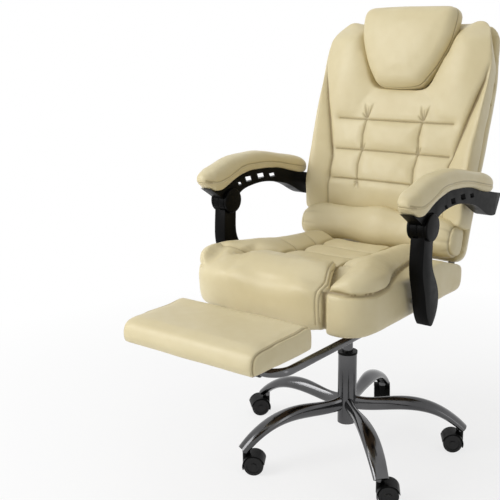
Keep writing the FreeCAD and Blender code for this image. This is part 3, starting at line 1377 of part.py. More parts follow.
def check_everything():
    """Stops before anything is written if a feature has failed."""
    for item in doc.Objects:
        if "Invalid" in item.State or "Error" in item.State:
            raise RuntimeError("%s has failed: %s" % (item.Label, item.State))
    for piece in nodes:
        if piece.Shape.isNull() or not piece.Shape.isValid() or not piece.Shape.Solids:
            raise RuntimeError("%s has no valid solid" % piece.Label)


def write_parts():
    os.makedirs("parts", exist_ok=True)
    for piece in nodes:
        piece.Shape.exportStep("parts/%s.step" % piece.Label)


make_column()
make_piston_rod()
make_gas_cylinder()
make_legs()
make_casters()
seat_board_outline = make_seat_board()
make_seat_base(seat_board_outline)
make_seat_middle()
make_seat_bolsters()
make_mechanism()
make_height_lever()
make_seat_bolts()
make_post_brackets()
make_recline_brackets()
make_recline_pins()
make_post_pins()
make_footrest_guides()
make_footrest_tube()
make_footrest_clips()
make_footrest_pad()
make_back_board()
make_back_rear_pad()
make_back_front_pad()
make_lumbar_roll()
make_head_pillow()
make_back_brackets()
make_release_lever()
make_arm_pins()
arm_beams = make_upper_arms()
make_arm_pads(arm_beams)
make_posts()
make_elbow_pins()
doc.recompute()
check_everything()
write_parts()
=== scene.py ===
import json
import math
import bmesh
import bpy
import numpy as np
from mathutils import Matrix, Vector, noise
from mathutils.bvhtree import BVHTree


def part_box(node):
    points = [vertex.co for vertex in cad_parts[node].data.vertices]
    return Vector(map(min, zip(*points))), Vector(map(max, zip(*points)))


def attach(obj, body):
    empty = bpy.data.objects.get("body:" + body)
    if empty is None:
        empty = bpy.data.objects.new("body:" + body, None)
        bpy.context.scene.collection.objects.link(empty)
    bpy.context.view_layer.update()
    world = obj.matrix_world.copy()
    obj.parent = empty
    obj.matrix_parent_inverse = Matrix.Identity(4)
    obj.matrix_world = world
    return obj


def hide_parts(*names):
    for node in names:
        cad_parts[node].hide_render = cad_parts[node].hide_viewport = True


# Office chair with a pull-out footrest, in metres, in the frame of its solids.
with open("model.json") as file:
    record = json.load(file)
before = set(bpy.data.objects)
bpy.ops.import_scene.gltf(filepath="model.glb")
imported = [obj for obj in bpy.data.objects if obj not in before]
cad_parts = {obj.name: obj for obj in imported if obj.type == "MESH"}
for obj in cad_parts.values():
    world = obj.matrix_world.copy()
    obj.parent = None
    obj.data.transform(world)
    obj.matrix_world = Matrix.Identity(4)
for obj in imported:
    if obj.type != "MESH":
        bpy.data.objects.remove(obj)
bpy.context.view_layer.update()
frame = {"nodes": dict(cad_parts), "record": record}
scene = bpy.context.scene
scene.view_settings.view_transform = "Standard"

# The backrest's own directions: up along its lean, and forward out of its face
LEAN = math.radians(17.1)
BACK_FOOT = Vector((0.0, 0.220, 0.489))
BACK_UP = Vector((0.0, math.sin(LEAN), math.cos(LEAN)))
BACK_FORWARD = Vector((0.0, -math.cos(LEAN), math.sin(LEAN)))
FOOT_ROW, UP_ROW, FORWARD_ROW = (np.array(given) for given in (BACK_FOOT, BACK_UP, BACK_FORWARD))
DOWN = Vector((0.0, 0.0, -1.0))
SIDES = (("left", 1.0), ("right", -1.0))
SEAM_STEP = 0.006
SAME_POINT = 0.00002
TUFT = 0.085
TUFT_ROWS = (0.180, 0.262, 0.346)


def on_back(across, up, forward=0.35):
    """A point in front of the backrest."""
    return BACK_FOOT + Vector((across, 0.0, 0.0)) + BACK_UP * up + BACK_FORWARD * forward


# Finishes

class Finish:
    """A shader with a few patterns that are fixed to the piece."""

    def __init__(self, name, colour, roughness, metallic=0.0):
        self.material = bpy.data.materials.new(name)
        self.material.use_nodes = True
        self.tree = self.material.node_tree
        self.shader = self.tree.nodes["Principled BSDF"]
        self.shader.inputs["Base Color"].default_value = (*colour, 1.0)
        self.shader.inputs["Roughness"].default_value = roughness
        self.shader.inputs["Metallic"].default_value = metallic
        self.place = self.tree.nodes.new("ShaderNodeTexCoord").outputs["Object"]

    def node(self, kind, **inputs):
        made = self.tree.nodes.new(kind)
        for name, value in inputs.items():
            made.inputs[name.replace("_", " ")].default_value = value
        return made

    def noise(self, scale, detail=2.0, stretch=None, distortion=0.0):
        pattern = self.node("ShaderNodeTexNoise", Scale=scale, Detail=detail, Distortion=distortion)
        source = self.place
        if stretch:
            mapping = self.node("ShaderNodeMapping", Scale=stretch)
            self.tree.links.new(source, mapping.inputs["Vector"])
            source = mapping.outputs["Vector"]
        self.tree.links.new(source, pattern.inputs["Vector"])
        return pattern.outputs["Fac"]

    def cells(self, scale):
        pattern = self.node("ShaderNodeTexVoronoi", Scale=scale)
        pattern.feature = "DISTANCE_TO_EDGE"
        self.tree.links.new(self.place, pattern.inputs["Vector"])
        return pattern.outputs["Distance"]

    def spread(self, value, low, high, start=0.3, end=0.7):
        """The value turned from start..end into low..high."""
        made = self.node("ShaderNodeMapRange", From_Min=start, From_Max=end, To_Min=low, To_Max=high)
        self.tree.links.new(value, made.inputs["Value"])
        return made.outputs["Result"]

    def tint(self, share, first, second):
        made = self.tree.nodes.new("ShaderNodeMix")
        made.data_type = "RGBA"
        self.tree.links.new(share, made.inputs["Factor"])
        for socket, colour in ((made.inputs[6], first), (made.inputs[7], second)):
            if isinstance(colour, tuple):
                socket.default_value = (*colour, 1.0)
            else:
                self.tree.links.new(colour, socket)
        return made.outputs[2]

    def colour(self, source):
        self.tree.links.new(source, self.shader.inputs["Base Color"])

    def roughness(self, source):
        self.tree.links.new(source, self.shader.inputs["Roughness"])

    def relief(self, *layers):
        """Bumps, each as (height, depth in metres, strength)."""
        normal = None
        for height, depth, strength in layers:
            bump = self.node("ShaderNodeBump", Distance=depth, Strength=strength)
            self.tree.links.new(height, bump.inputs["Height"])
            if normal:
                self.tree.links.new(normal, bump.inputs["Normal"])
            normal = bump.outputs["Normal"]
        self.tree.links.new(normal, self.shader.inputs["Normal"])


def cream_leather():
    finish = Finish("cream_leather", (0.72, 0.62, 0.38), 0.40)
    broad = finish.noise(5.0, 3.0)
    fine = finish.noise(42.0, 4.0)
    worn = finish.tint(finish.spread(broad, 0.0, 1.0), (0.705, 0.605, 0.36), (0.74, 0.65, 0.41))
    mottled = finish.tint(finish.spread(fine, 0.0, 0.18), worn, (0.63, 0.52, 0.28))
    # Painted shade: the fold mark draws the colour towards dark brown in the pressed seams, creases and
    # pleats.
    fold = finish.node("ShaderNodeAttribute")
    fold.attribute_name = "fold"
    painted_shade = finish.spread(fold.outputs["Fac"], 0.0, 0.85, 0.0, 1.0)
    finish.colour(finish.tint(painted_shade, mottled, (0.21, 0.145, 0.05)))
    finish.roughness(finish.spread(fine, 0.38, 0.48))
    grain = finish.spread(finish.cells(620.0), 0.0, 1.0, 0.0, 0.35)
    finish.relief((finish.noise(34.0, 3.0, distortion=0.4), 0.0022, 0.20), (grain, 0.00022, 0.5),
                  (finish.noise(1500.0, 2.0), 0.0001, 0.35))
    finish.shader.inputs["Specular IOR Level"].default_value = 0.42
    finish.shader.inputs["Coat Weight"].default_value = 0.18
    finish.shader.inputs["Coat Roughness"].default_value = 0.34
    return finish.material


def thread():
    finish = Finish("cream_thread", (0.60, 0.50, 0.31), 0.75)
    finish.colour(finish.tint(finish.noise(900.0), (0.50, 0.41, 0.24), (0.68, 0.58, 0.38)))
    finish.relief((finish.noise(2600.0), 0.0001, 0.5))
    return finish.material


def black_plastic():
    finish = Finish("black_plastic", (0.004, 0.004, 0.004), 0.36)
    cloud = finish.spread(finish.noise(9.0, 3.0), 0.0, 1.0)
    finish.colour(finish.tint(cloud, (0.0015, 0.0015, 0.0015), (0.004, 0.004, 0.004)))
    finish.roughness(finish.spread(finish.noise(60.0, 4.0), 0.30, 0.42))
    finish.relief((finish.noise(1100.0, 2.0), 0.0001, 0.35), (finish.noise(22.0), 0.0006, 0.08))
    finish.shader.inputs["Specular IOR Level"].default_value = 0.06
    return finish.material


def wheel_plastic():
    finish = Finish("wheel_plastic", (0.005, 0.005, 0.005), 0.42)
    finish.colour(finish.tint(finish.noise(30.0, 4.0), (0.003, 0.003, 0.003), (0.009, 0.009, 0.009)))
    finish.roughness(finish.spread(finish.noise(80.0, 5.0), 0.34, 0.55))
    finish.relief((finish.noise(700.0, 3.0), 0.0001, 0.4))
    finish.shader.inputs["Specular IOR Level"].default_value = 0.3
    return finish.material


def bright_steel():
    finish = Finish("bright_steel", (0.11, 0.11, 0.112), 0.13, 1.0)
    cloud = finish.noise(7.0, 3.0)
    finish.colour(finish.tint(finish.spread(cloud, 0.0, 1.0), (0.075, 0.075, 0.077), (0.14, 0.14, 0.143)))
    finish.roughness(finish.spread(finish.noise(55.0, 5.0), 0.11, 0.22))
    finish.relief((finish.noise(16.0, 2.0), 0.0008, 0.05), (finish.noise(2200.0), 0.00005, 0.12))
    return finish.material


def black_steel():
    finish = Finish("black_steel", (0.016, 0.016, 0.017), 0.45, 0.35)
    finish.colour(finish.tint(finish.noise(24.0, 4.0), (0.010, 0.010, 0.011), (0.024, 0.023, 0.022)))
    finish.roughness(finish.spread(finish.noise(120.0, 4.0), 0.36, 0.58))
    finish.relief((finish.noise(900.0, 3.0), 0.00012, 0.5))
    return finish.material


def plain_steel():
    finish = Finish("plain_steel", (0.46, 0.46, 0.47), 0.34, 1.0)
    finish.colour(finish.tint(finish.noise(60.0, 4.0), (0.34, 0.34, 0.35), (0.52, 0.52, 0.53)))
    finish.roughness(finish.spread(finish.noise(220.0, 3.0), 0.26, 0.46))
    return finish.material


def plywood():
    finish = Finish("plywood", (0.34, 0.22, 0.12), 0.7)
    grain = finish.noise(14.0, 6.0, (1.0, 9.0, 9.0), 0.6)
    stripes = finish.spread(grain, 0.0, 1.0, 0.35, 0.65)
    finish.colour(finish.tint(stripes, (0.27, 0.165, 0.085), (0.46, 0.31, 0.18)))
    finish.roughness(finish.spread(grain, 0.62, 0.82))
    finish.relief((grain, 0.0006, 0.5), (finish.noise(600.0, 3.0), 0.0002, 0.4))
    return finish.material


LEATHER, THREAD, PLASTIC, WHEEL = cream_leather(), thread(), black_plastic(), wheel_plastic()
CHROME, BLACK_STEEL, STEEL, PLYWOOD = bright_steel(), black_steel(), plain_steel(), plywood()


# Meshes

def opened(*meshes):
    """One or more meshes, open for changes."""
    made = bmesh.new()
    for mesh in meshes:
        made.from_mesh(mesh)
    return made


def closed(made, mesh):
    """Puts the changes into a mesh."""
    made.to_mesh(mesh)
    made.free()
    return mesh


def tree_of(mesh):
    """The mesh's surface, for finding points on it."""
    made = opened(mesh)
    tree = BVHTree.FromBMesh(made)
    made.free()
    return tree


def smooth_faces(mesh, smooth=True):
    mesh.polygons.foreach_set("use_smooth", [smooth] * len(mesh.polygons))


def solid_mesh(node):
    return frame["nodes"][node].data


def shown(name, mesh, material, smooth=True):
    """A new piece made of a finished mesh."""
    piece = bpy.data.objects.new(name, mesh)
    scene.collection.objects.link(piece)
    mesh.materials.clear()
    mesh.materials.append(material)
    smooth_faces(mesh, smooth)
    return piece


def result_of(piece):
    """The piece's mesh with its modifiers applied."""
    bpy.context.view_layer.update()
    graph = bpy.context.evaluated_depsgraph_get()
    return bpy.data.meshes.new_from_object(piece.evaluated_get(graph))


def settle(piece):
    """Applies the piece's modifiers for good."""
    mesh = result_of(piece)
    piece.modifiers.clear()
    piece.data = mesh


def points_of(mesh):
    flat = np.empty(len(mesh.vertices) * 3)
    mesh.vertices.foreach_get("co", flat)
    return flat.reshape(-1, 3)


def normals_of(mesh):
    flat = np.empty(len(mesh.vertices) * 3)
    mesh.vertex_normals.foreach_get("vector", flat)
    return flat.reshape(-1, 3)


def move_to(mesh, points):
    mesh.vertices.foreach_set("co", points.astype(np.float32).ravel())
    mesh.update()


def skin_of(nodes):
    """A closed copy of the surfaces of one or more nodes."""
    made = opened(*(solid_mesh(node) for node in nodes))
    bmesh.ops.remove_doubles(made, verts=made.verts, dist=SAME_POINT)
    return closed(made, bpy.data.meshes.new(nodes[0] + "_skin"))


def eased(points, edges, rounds, share, held=None):
    """Draws each point towards the middle of its neighbours."""
    first, second = edges[:, 0], edges[:, 1]
    count = np.bincount(first, minlength=len(points)) + np.bincount(second, minlength=len(points))
    for _ in range(rounds):
        middle = np.empty_like(points)
        for axis in range(3):
            total = np.bincount(first, points[second, axis], len(points))
            total += np.bincount(second, points[first, axis], len(points))
            middle[:, axis] = total / np.maximum(count, 1)
        step = (middle - points) * share
        if held is not None:
            step[held] = 0.0
        points = points + step
    return points


def edges_of(mesh):
    flat = np.empty(len(mesh.edges) * 2, dtype=np.int64)
    mesh.edges.foreach_get("vertices", flat)
    return flat.reshape(-1, 2)


# Soft pieces: an even skin is taken from the solid, held along its seams, blown up a little and sewn

def ramp(values, low, high):
    """0 below low, 1 above high and smooth between them."""
    share = np.clip((values - low) / (high - low), 0.0, 1.0)
    return share * share * (3.0 - 2.0 * share)


def even_skin(name, nodes, voxel, inward=0.0, rounds=4):
    """An even closed skin round nodes, a little smaller than they are."""
    piece = shown(name, skin_of(nodes), LEATHER)
    remesh = piece.modifiers.new("even", "REMESH")
    remesh.mode = "VOXEL"
    remesh.voxel_size = voxel
    settle(piece)
    mesh = piece.data
    points = eased(points_of(mesh), edges_of(mesh), rounds, 0.5)
    move_to(mesh, points)
    move_to(mesh, points_of(mesh) - normals_of(mesh) * inward)
    return piece


def reach_to_lines(points, lines, far=0.05):
    """Distance from each point to the nearest line, and how strong the line is there.

    A line is a list of (point, strength)."""
    nearest = np.full(len(points), far)
    strength = np.zeros(len(points))
    for line in lines:
        for (start, first), (end, second) in zip(line, line[1:]):
            a, b = np.array(start), np.array(end)
            low, high = np.minimum(a, b) - far, np.maximum(a, b) + far
            inside = np.flatnonzero(((points > low) & (points < high)).all(1))
            if not len(inside):
                continue
            offset = points[inside] - a
            run = b - a
            share = np.clip(offset @ run / max(run @ run, 1e-12), 0, 1)
            gap = np.linalg.norm(offset - share[:, None] * run, axis=1)
            better = gap < nearest[inside]
            chosen = inside[better]
            nearest[chosen] = gap[better]
            strength[chosen] = first + share[better] * (second - first)
    return nearest, strength


def press_in(piece, lines, depth, width, painted_shade=1.0):
    """Draws the skin in along lines and marks the folds with painted shade, which the leather draws dark
    brown.
    """
    mesh = piece.data
    points = points_of(mesh)
    nearest, strength = reach_to_lines(points, lines, 4.0 * width)
    fall = strength * np.exp(-(nearest / width) ** 2)
    move_to(mesh, points - normals_of(mesh) * (depth * fall)[:, None])
    # Painted shade along the pressed line, kept in the fold mark.
    marked(mesh, "fold", painted_shade * strength * np.exp(-(nearest / (0.6 * width)) ** 2))


def values_of(mesh, name):
    mark = mesh.attributes.get(name) or mesh.attributes.new(name, "FLOAT", "POINT")
    values = np.empty(len(mesh.vertices), dtype=np.float32)
    mark.data.foreach_get("value", values)
    return values


def marked(mesh, name, values):
    """Keeps the larger of the old and the new mark at each point."""
    kept = np.maximum(values_of(mesh, name), values).astype(np.float32)
    mesh.attributes[name].data.foreach_set("value", kept)


def meeting(points, nodes, width):
    """How near each point is to a line where two of the nodes meet, and its nearest node."""
    trees = [tree_of(solid_mesh(node)) for node in nodes]
    gaps = np.array([[tree.find_nearest(Vector(p))[3] for p in points] for tree in trees])
    owner = gaps.argmin(axis=0)
    gaps.sort(axis=0)
    return np.exp(-((gaps[1] - gaps[0]) / width) ** 2), owner


def finer(piece, lines, reach):
    """Splits the faces beside the lines, so that a narrow seam has shape."""
    mesh = piece.data
    nearest, _ = reach_to_lines(points_of(mesh), lines, reach * 1.5)
    made = opened(mesh)
    made.verts.ensure_lookup_table()
    near = nearest < reach
    edges = [edge for edge in made.edges if near[edge.verts[0].index] and near[edge.verts[1].index]]
    bmesh.ops.subdivide_edges(made, edges=edges, cuts=1, use_grid_fill=True)
    closed(made, mesh)


def puffed(piece, held, pressure, cap, frames=20):
    """Blows the skin up between the held points, outward only and by no more than cap."""
    mesh = piece.data
    start, away = points_of(mesh), normals_of(mesh)
    group = piece.vertex_groups.new(name="held")
    group.add([int(i) for i in np.flatnonzero(held)], 1.0, "REPLACE")
    cloth = piece.modifiers.new("cloth", "CLOTH")
    leather = cloth.settings
    leather.quality = 4
    leather.mass = 0.3
    leather.tension_stiffness = leather.compression_stiffness = 12.0
    leather.shear_stiffness = 6.0
    leather.bending_stiffness = 0.6
    leather.use_pressure = True
    leather.uniform_pressure_force = pressure
    leather.effector_weights.gravity = 0.0
    leather.vertex_group_mass = "held"
    cloth.collision_settings.use_collision = False
    cloth.point_cache.frame_start = 1
    cloth.point_cache.frame_end = frames
    for number in range(1, frames + 1):
        scene.frame_set(number)
    settle(piece)
    scene.frame_set(1)
    piece.vertex_groups.clear()
    outward = ((points_of(piece.data) - start) * away).sum(axis=1)
    rise = cap * np.tanh(np.maximum(outward, 0.0) / cap)
    rise = eased(np.repeat(rise[:, None], 3, axis=1), edges_of(piece.data), 3, 0.5)[:, 0]
    move_to(piece.data, start + away * rise[:, None])


def smoother(piece):
    """Rounds the skin with one more level of faces."""
    rounding = piece.modifiers.new("rounding", "SUBSURF")
    rounding.levels = rounding.render_levels = 1
    settle(piece)
    smooth_faces(piece.data)


def crumpled(piece, size, height, seed):
    """Small uneven waves, as soft filling has."""
    points = points_of(piece.data)
    waves = np.array([noise.noise(Vector(p) / size + Vector((seed, 0, 0))) for p in points])
    move_to(piece.data, points + normals_of(piece.data) * (height * waves)[:, None])


def surface_of(piece):
    return tree_of(piece.data)


def divided(corners, step=SEAM_STEP):
    """Points along straight runs between corners."""
    made = []
    for start, end in zip(corners, corners[1:]):
        count = max(1, round((Vector(end) - Vector(start)).length / step))
        made += [Vector(start).lerp(Vector(end), i / count) for i in range(count)]
    return made + [Vector(corners[-1])]


def dropped(tree, starts, direction, strengths=None, lift=0.0):
    """Lays points on a skin along a direction. Returns a line."""
    line = []
    for index, start in enumerate(starts):
        spot, normal, _, _ = tree.ray_cast(start, direction)
        if spot is not None:
            strength = 1.0 if strengths is None else strengths(index / max(1, len(starts) - 1))
            line.append((spot + normal * lift, strength))
    return line


def relaid(tree, lines, direction, lift=0.0):
    """The same lines, laid on the skin again after it has moved."""
    made = []
    for line in lines:
        again = []
        for spot, strength in line:
            found, normal, _, _ = tree.ray_cast(Vector(spot) - direction * 0.1, direction)
            if found is not None:
                again.append((found + normal * lift, strength))
        made.append(again)
    return made


def settled_on(tree, lines, lift=0.0003):
    """The lines moved to the nearest points of the skin."""
    made = []
    for line in lines:
        found = [(tree.find_nearest(spot), strength) for spot, strength in line]
        made.append([(near[0] + near[1] * lift, strength) for near, strength in found])
    return made


def loop_round(tree, middle, axis, first, count=90, radius=0.5):
    """A line round a piece, found from outside towards its middle."""
    second = axis.cross(first)
    line = []
    for index in range(count + 1):
        angle = 2 * math.pi * (index / count)
        ray = first * math.cos(angle) + second * math.sin(angle)
        spot, _, _, _ = tree.ray_cast(middle + ray * radius, -ray)
        if spot is not None:
            line.append((spot, 1.0))
    return line


# Repeated small pieces: node trees that set copies of a shape along a line

def copying_tree(name, sockets, result_name):
    """A tree with named inputs that sets copies of a shape at spots and makes them one plain mesh."""
    tree = bpy.data.node_groups.new(name, "GeometryNodeTree")
    for label, kind, value in sockets:
        socket = tree.interface.new_socket(label, in_out="INPUT", socket_type="NodeSocket" + kind)
        if value is not None:
            socket.default_value = value
    tree.interface.new_socket(result_name, in_out="OUTPUT", socket_type="NodeSocketGeometry")
    nodes, link = tree.nodes, tree.links.new
    given = nodes.new("NodeGroupInput")
    result = nodes.new("NodeGroupOutput")
    spots = nodes.new("GeometryNodeCurveToPoints")
    shape = nodes.new("ShaderNodeCombineXYZ")
    copies = nodes.new("GeometryNodeInstanceOnPoints")
    real = nodes.new("GeometryNodeRealizeInstances")
    coat = nodes.new("GeometryNodeSetMaterial")
    link(spots.outputs["Points"], copies.inputs["Points"])
    link(spots.outputs["Rotation"], copies.inputs["Rotation"])
    link(copies.outputs["Instances"], real.inputs["Geometry"])
    link(real.outputs["Geometry"], coat.inputs["Geometry"])
    link(given.outputs["Finish"], coat.inputs["Material"])
    link(coat.outputs["Geometry"], result.inputs[result_name])
    return tree, given, spots, shape, copies


def stitch_tree():
    """Short beads of thread along a line."""
    sockets = (("Line", "Geometry", None), ("Pitch", "Float", 0.0042), ("Length", "Float", 0.0030),
               ("Radius", "Float", 0.00055), ("Finish", "Material", None))
    tree, given, spots, shape, copies = copying_tree("stitches", sockets, "Stitches")
    nodes, link = tree.nodes, tree.links.new
    spots.mode = "LENGTH"
    curve = nodes.new("GeometryNodeMeshToCurve")
    bead = nodes.new("GeometryNodeMeshUVSphere")
    bead.inputs["Segments"].default_value = 6
    bead.inputs["Rings"].default_value = 4
    bead.inputs["Radius"].default_value = 1.0
    half = nodes.new("ShaderNodeMath")
    half.operation = "MULTIPLY"
    half.inputs[1].default_value = 0.5
    link(given.outputs["Line"], curve.inputs["Mesh"])
    link(curve.outputs["Curve"], spots.inputs["Curve"])
    link(given.outputs["Pitch"], spots.inputs["Length"])
    link(given.outputs["Length"], half.inputs[0])
    link(given.outputs["Radius"], shape.inputs["X"])
    link(given.outputs["Radius"], shape.inputs["Y"])
    link(half.outputs[0], shape.inputs["Z"])
    link(bead.outputs["Mesh"], copies.inputs["Instance"])
    link(shape.outputs["Vector"], copies.inputs["Scale"])
    return tree


def rib_tree():
    """Short bars side by side round a circle in the XY plane."""
    sockets = (("Radius", "Float", 0.031), ("Width", "Float", 0.0022), ("Height", "Float", 0.0016),
               ("Length", "Float", 0.014), ("Count", "Int", 28), ("Finish", "Material", None))
    tree, given, spots, shape, copies = copying_tree("ribs", sockets, "Ribs")
    nodes, link = tree.nodes, tree.links.new
    circle = nodes.new("GeometryNodeCurvePrimitiveCircle")
    circle.inputs["Resolution"].default_value = 168
    bar = nodes.new("GeometryNodeMeshCube")
    link(given.outputs["Radius"], circle.inputs["Radius"])
    link(circle.outputs["Curve"], spots.inputs["Curve"])
    link(given.outputs["Count"], spots.inputs["Count"])
    link(given.outputs["Height"], shape.inputs["X"])
    link(given.outputs["Length"], shape.inputs["Y"])
    link(given.outputs["Width"], shape.inputs["Z"])
    link(shape.outputs["Vector"], bar.inputs["Size"])
    link(bar.outputs["Mesh"], copies.inputs["Instance"])
    return tree


STITCHES, RIBS = stitch_tree(), rib_tree()


def grown(name, mesh, tree, inputs):
    """The plain mesh that a node tree makes, with the tree's inputs given by name."""
    holder = bpy.data.objects.new(name, mesh)
    scene.collection.objects.link(holder)
    growth = holder.modifiers.new("growth", "NODES")
    growth.node_group = tree
    for item in tree.interface.items_tree:
        if item.in_out == "INPUT" and item.name in inputs:
            growth[item.identifier] = inputs[item.name]
    made = result_of(holder)
    bpy.data.objects.remove(holder)
    return made


def line_mesh(name, lines):
    mesh = bpy.data.meshes.new(name)
    points, edges = [], []
    for line in lines:
        first = len(points)
        points += [spot for spot, _ in line]
        edges += [(first + i, first + i + 1) for i in range(len(line) - 1)]
    mesh.from_pydata(points, edges, [])
    return mesh


def sewn(name, lines, body):
    """Stitches along lines, as one plain mesh that rides on a body."""
    lines = [line for line in lines if len(line) > 1]
    mesh = grown(name + "_line", line_mesh(name + "_line", lines), STITCHES, {"Finish": THREAD})
    carried(shown(name, mesh, THREAD), body)


def carried(piece, body):
    """The piece rides on a body."""
    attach(piece, body)


def soft(piece, body, nodes):
    """Hangs a finished cushion on its body and hides the solids that it replaces."""
    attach(piece, body)
    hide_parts(*nodes)


# Backrest

# The fold between the panel and each side roll: places up the back, and how far out it runs there
FOLD_UP = (0.10, 0.238, 0.307, 0.384, 0.460, 0.507, 0.60)
FOLD_ACROSS = (0.176, 0.176, 0.195, 0.217, 0.238, 0.244, 0.250)
BACK_HALF = 0.250
PANEL_HALF = 0.172
PANEL_FACE = 0.108
ROLL_FACE = 0.110
ROLL_RISE = 0.019
SHOULDER_DROP = 0.036
LUMBAR_HALF = 0.242
HEAD_ROUND = 0.545
TUFT_PLEATS = ((-42.0, 0.024), (-13.0, 0.046), (3.0, 0.036), (20.0, 0.050))


def in_back(points):
    """Distances across, up and forward from the backrest's foot."""
    offset = points - FOOT_ROW
    return np.abs(offset[:, 0]), offset @ UP_ROW, offset @ FORWARD_ROW


def broad_shoulders(piece):
    """Shapes the front padding, draws its lower edge down and back, and rounds its shoulders."""
    mesh = piece.data
    for _ in range(3):
        shape_front(mesh)
    points = points_of(mesh)
    across, up, _ = in_back(points)
    lower = ramp(-up, -0.165, -0.125)[:, None]
    points -= UP_ROW * 0.024 * lower + FORWARD_ROW * 0.020 * lower
    points = eased(points, edges_of(mesh), 14, 0.5, (up < 0.520) | (across < 0.110))
    move_to(mesh, eased(points, edges_of(mesh), 3, 0.5))
    return piece


def shape_front(mesh):
    """A swelling panel between two side rolls that narrow to nothing towards the shoulders."""
    points = points_of(mesh)
    across, up, forward = in_back(points)
    facing = ramp(normals_of(mesh) @ FORWARD_ROW, 0.05, 0.45) * ramp(forward, 0.080, 0.092)
    fold = np.interp(up, FOLD_UP, FOLD_ACROSS)
    swell = 0.026 * ramp(up, 0.27, 0.48) * np.exp(-((across - 0.170) / 0.070) ** 2)
    low_panel = np.minimum(forward, PANEL_FACE + 0.010 * ramp(-across, -0.10, 0.0))
    panel = np.where(up < 0.34, low_panel, PANEL_FACE) + swell
    share = np.clip((across - fold) / np.maximum(BACK_HALF - fold, 0.004), 0.0, 1.0)
    size = np.clip((BACK_HALF - fold) / 0.060, 0.0, 1.0)
    roll = ROLL_FACE + ROLL_RISE * size * np.minimum(share / 0.65, 1.0)
    target = np.where(across < fold, panel, roll)
    target -= SHOULDER_DROP * ramp(up, 0.545, 0.615) ** 2
    points += FORWARD_ROW * (facing * (target - forward))[:, None]
    move_to(mesh, eased(points, edges_of(mesh), 2, 0.5))


def back_front():
    """The front padding, with sewn rows, short joins between them, and pleats at each tuft."""
    piece = broad_shoulders(even_skin("back_front_cushion", ["back_front_pad"], 0.0065, 0.001, 3))
    tree = surface_of(piece)
    rows = [dropped(tree, divided([on_back(-PANEL_HALF, up), on_back(PANEL_HALF, up)]), -BACK_FORWARD)
            for up in TUFT_ROWS]
    joins, pleats = [], []
    for _, side in SIDES:
        for low, high in zip(TUFT_ROWS, TUFT_ROWS[1:]):
            middle = on_back(side * TUFT - 0.005, 0.5 * (low + high))
            starts = divided([on_back(side * TUFT, low), middle, on_back(side * TUFT, high)])
            joins.append(dropped(tree, starts, -BACK_FORWARD))
        for up, way, reach in zip(TUFT_ROWS, (-1.0, 1.0, 1.0), (0.6, 0.45, 1.0)):
            for turn, length in TUFT_PLEATS:
                tip = (side * TUFT + reach * length * math.sin(math.radians(turn)),
                       up + way * reach * length * math.cos(math.radians(turn)))
                pleats.append(dropped(tree, divided([on_back(side * TUFT, up), on_back(*tip)], 0.003),
                                      -BACK_FORWARD, lambda share: 1.0 - share ** 2))
    seams = rows + joins
    press_in(piece, seams, 0.005, 0.013, 0.10)
    points = points_of(piece.data)
    near, _ = reach_to_lines(points, seams, 0.05)
    across, up, forward = in_back(points)
    puffed(piece, (near < 0.005) | (forward < 0.085) | (across > PANEL_HALF), 3.0, 0.008)
    smoother(piece)
    tree = surface_of(piece)
    flanks = []
    for _, side in SIDES:
        corners = zip(FOLD_ACROSS[5::-1], FOLD_UP[5::-1])
        starts = divided([on_back(side * across, up) for across, up in corners])
        flanks.append(dropped(tree, starts, -BACK_FORWARD,
                              lambda share: min(1.0, 5.0 * share) * min(1.0, 1.25 - share)))
    seams, pleats = relaid(tree, seams, -BACK_FORWARD), relaid(tree, pleats, -BACK_FORWARD)
    finer(piece, seams + pleats + flanks, 0.010)
    press_in(piece, flanks, 0.004, 0.010, 0.30)
    flanks = relaid(surface_of(piece), flanks, -BACK_FORWARD)
    press_in(piece, flanks, 0.0045, 0.0042, 2.0)
    press_in(piece, seams, 0.0030, 0.0030, 0.9)
    press_in(piece, pleats, 0.0045, 0.0034, 1.0)
    crumpled(piece, 0.05, 0.0010, 3.0)
    tree = surface_of(piece)
    threads = relaid(tree, rows, -BACK_FORWARD, 0.0002)
    soft(piece, "backrest", ["back_front_pad"])
    sewn("back_stitching", threads, "backrest")


def back_rear():
    """The rear padding, with a pressed outline and a seam across its waist."""
    piece = even_skin("back_rear_cushion", ["back_rear_pad"], 0.0075, 0.0, 6)
    smoother(piece)
    tree = surface_of(piece)
    outline = [(-0.150, 0.06), (0.150, 0.06), (0.168, 0.30), (0.165, 0.44), (0.110, 0.52), (-0.110, 0.52),
               (-0.165, 0.44), (-0.168, 0.30), (-0.150, 0.06)]
    panel = dropped(tree, divided([on_back(x, up, -0.2) for x, up in outline]), BACK_FORWARD)
    waist = dropped(tree, divided([on_back(-0.166, 0.27, -0.2), on_back(0.166, 0.27, -0.2)]), BACK_FORWARD)
    finer(piece, [panel, waist], 0.008)
    press_in(piece, [panel, waist], 0.0025, 0.0035)
    crumpled(piece, 0.08, 0.0015, 8.0)
    tree = surface_of(piece)
    threads = [dropped(tree, [spot - BACK_FORWARD * 0.1 + Vector((0, 0, side * 0.0045)) for spot, _ in waist],
                       BACK_FORWARD, lift=0.0002) for side in (-1.0, 1.0)]
    soft(piece, "backrest", ["back_rear_pad"])
    sewn("rear_stitching", threads, "backrest")


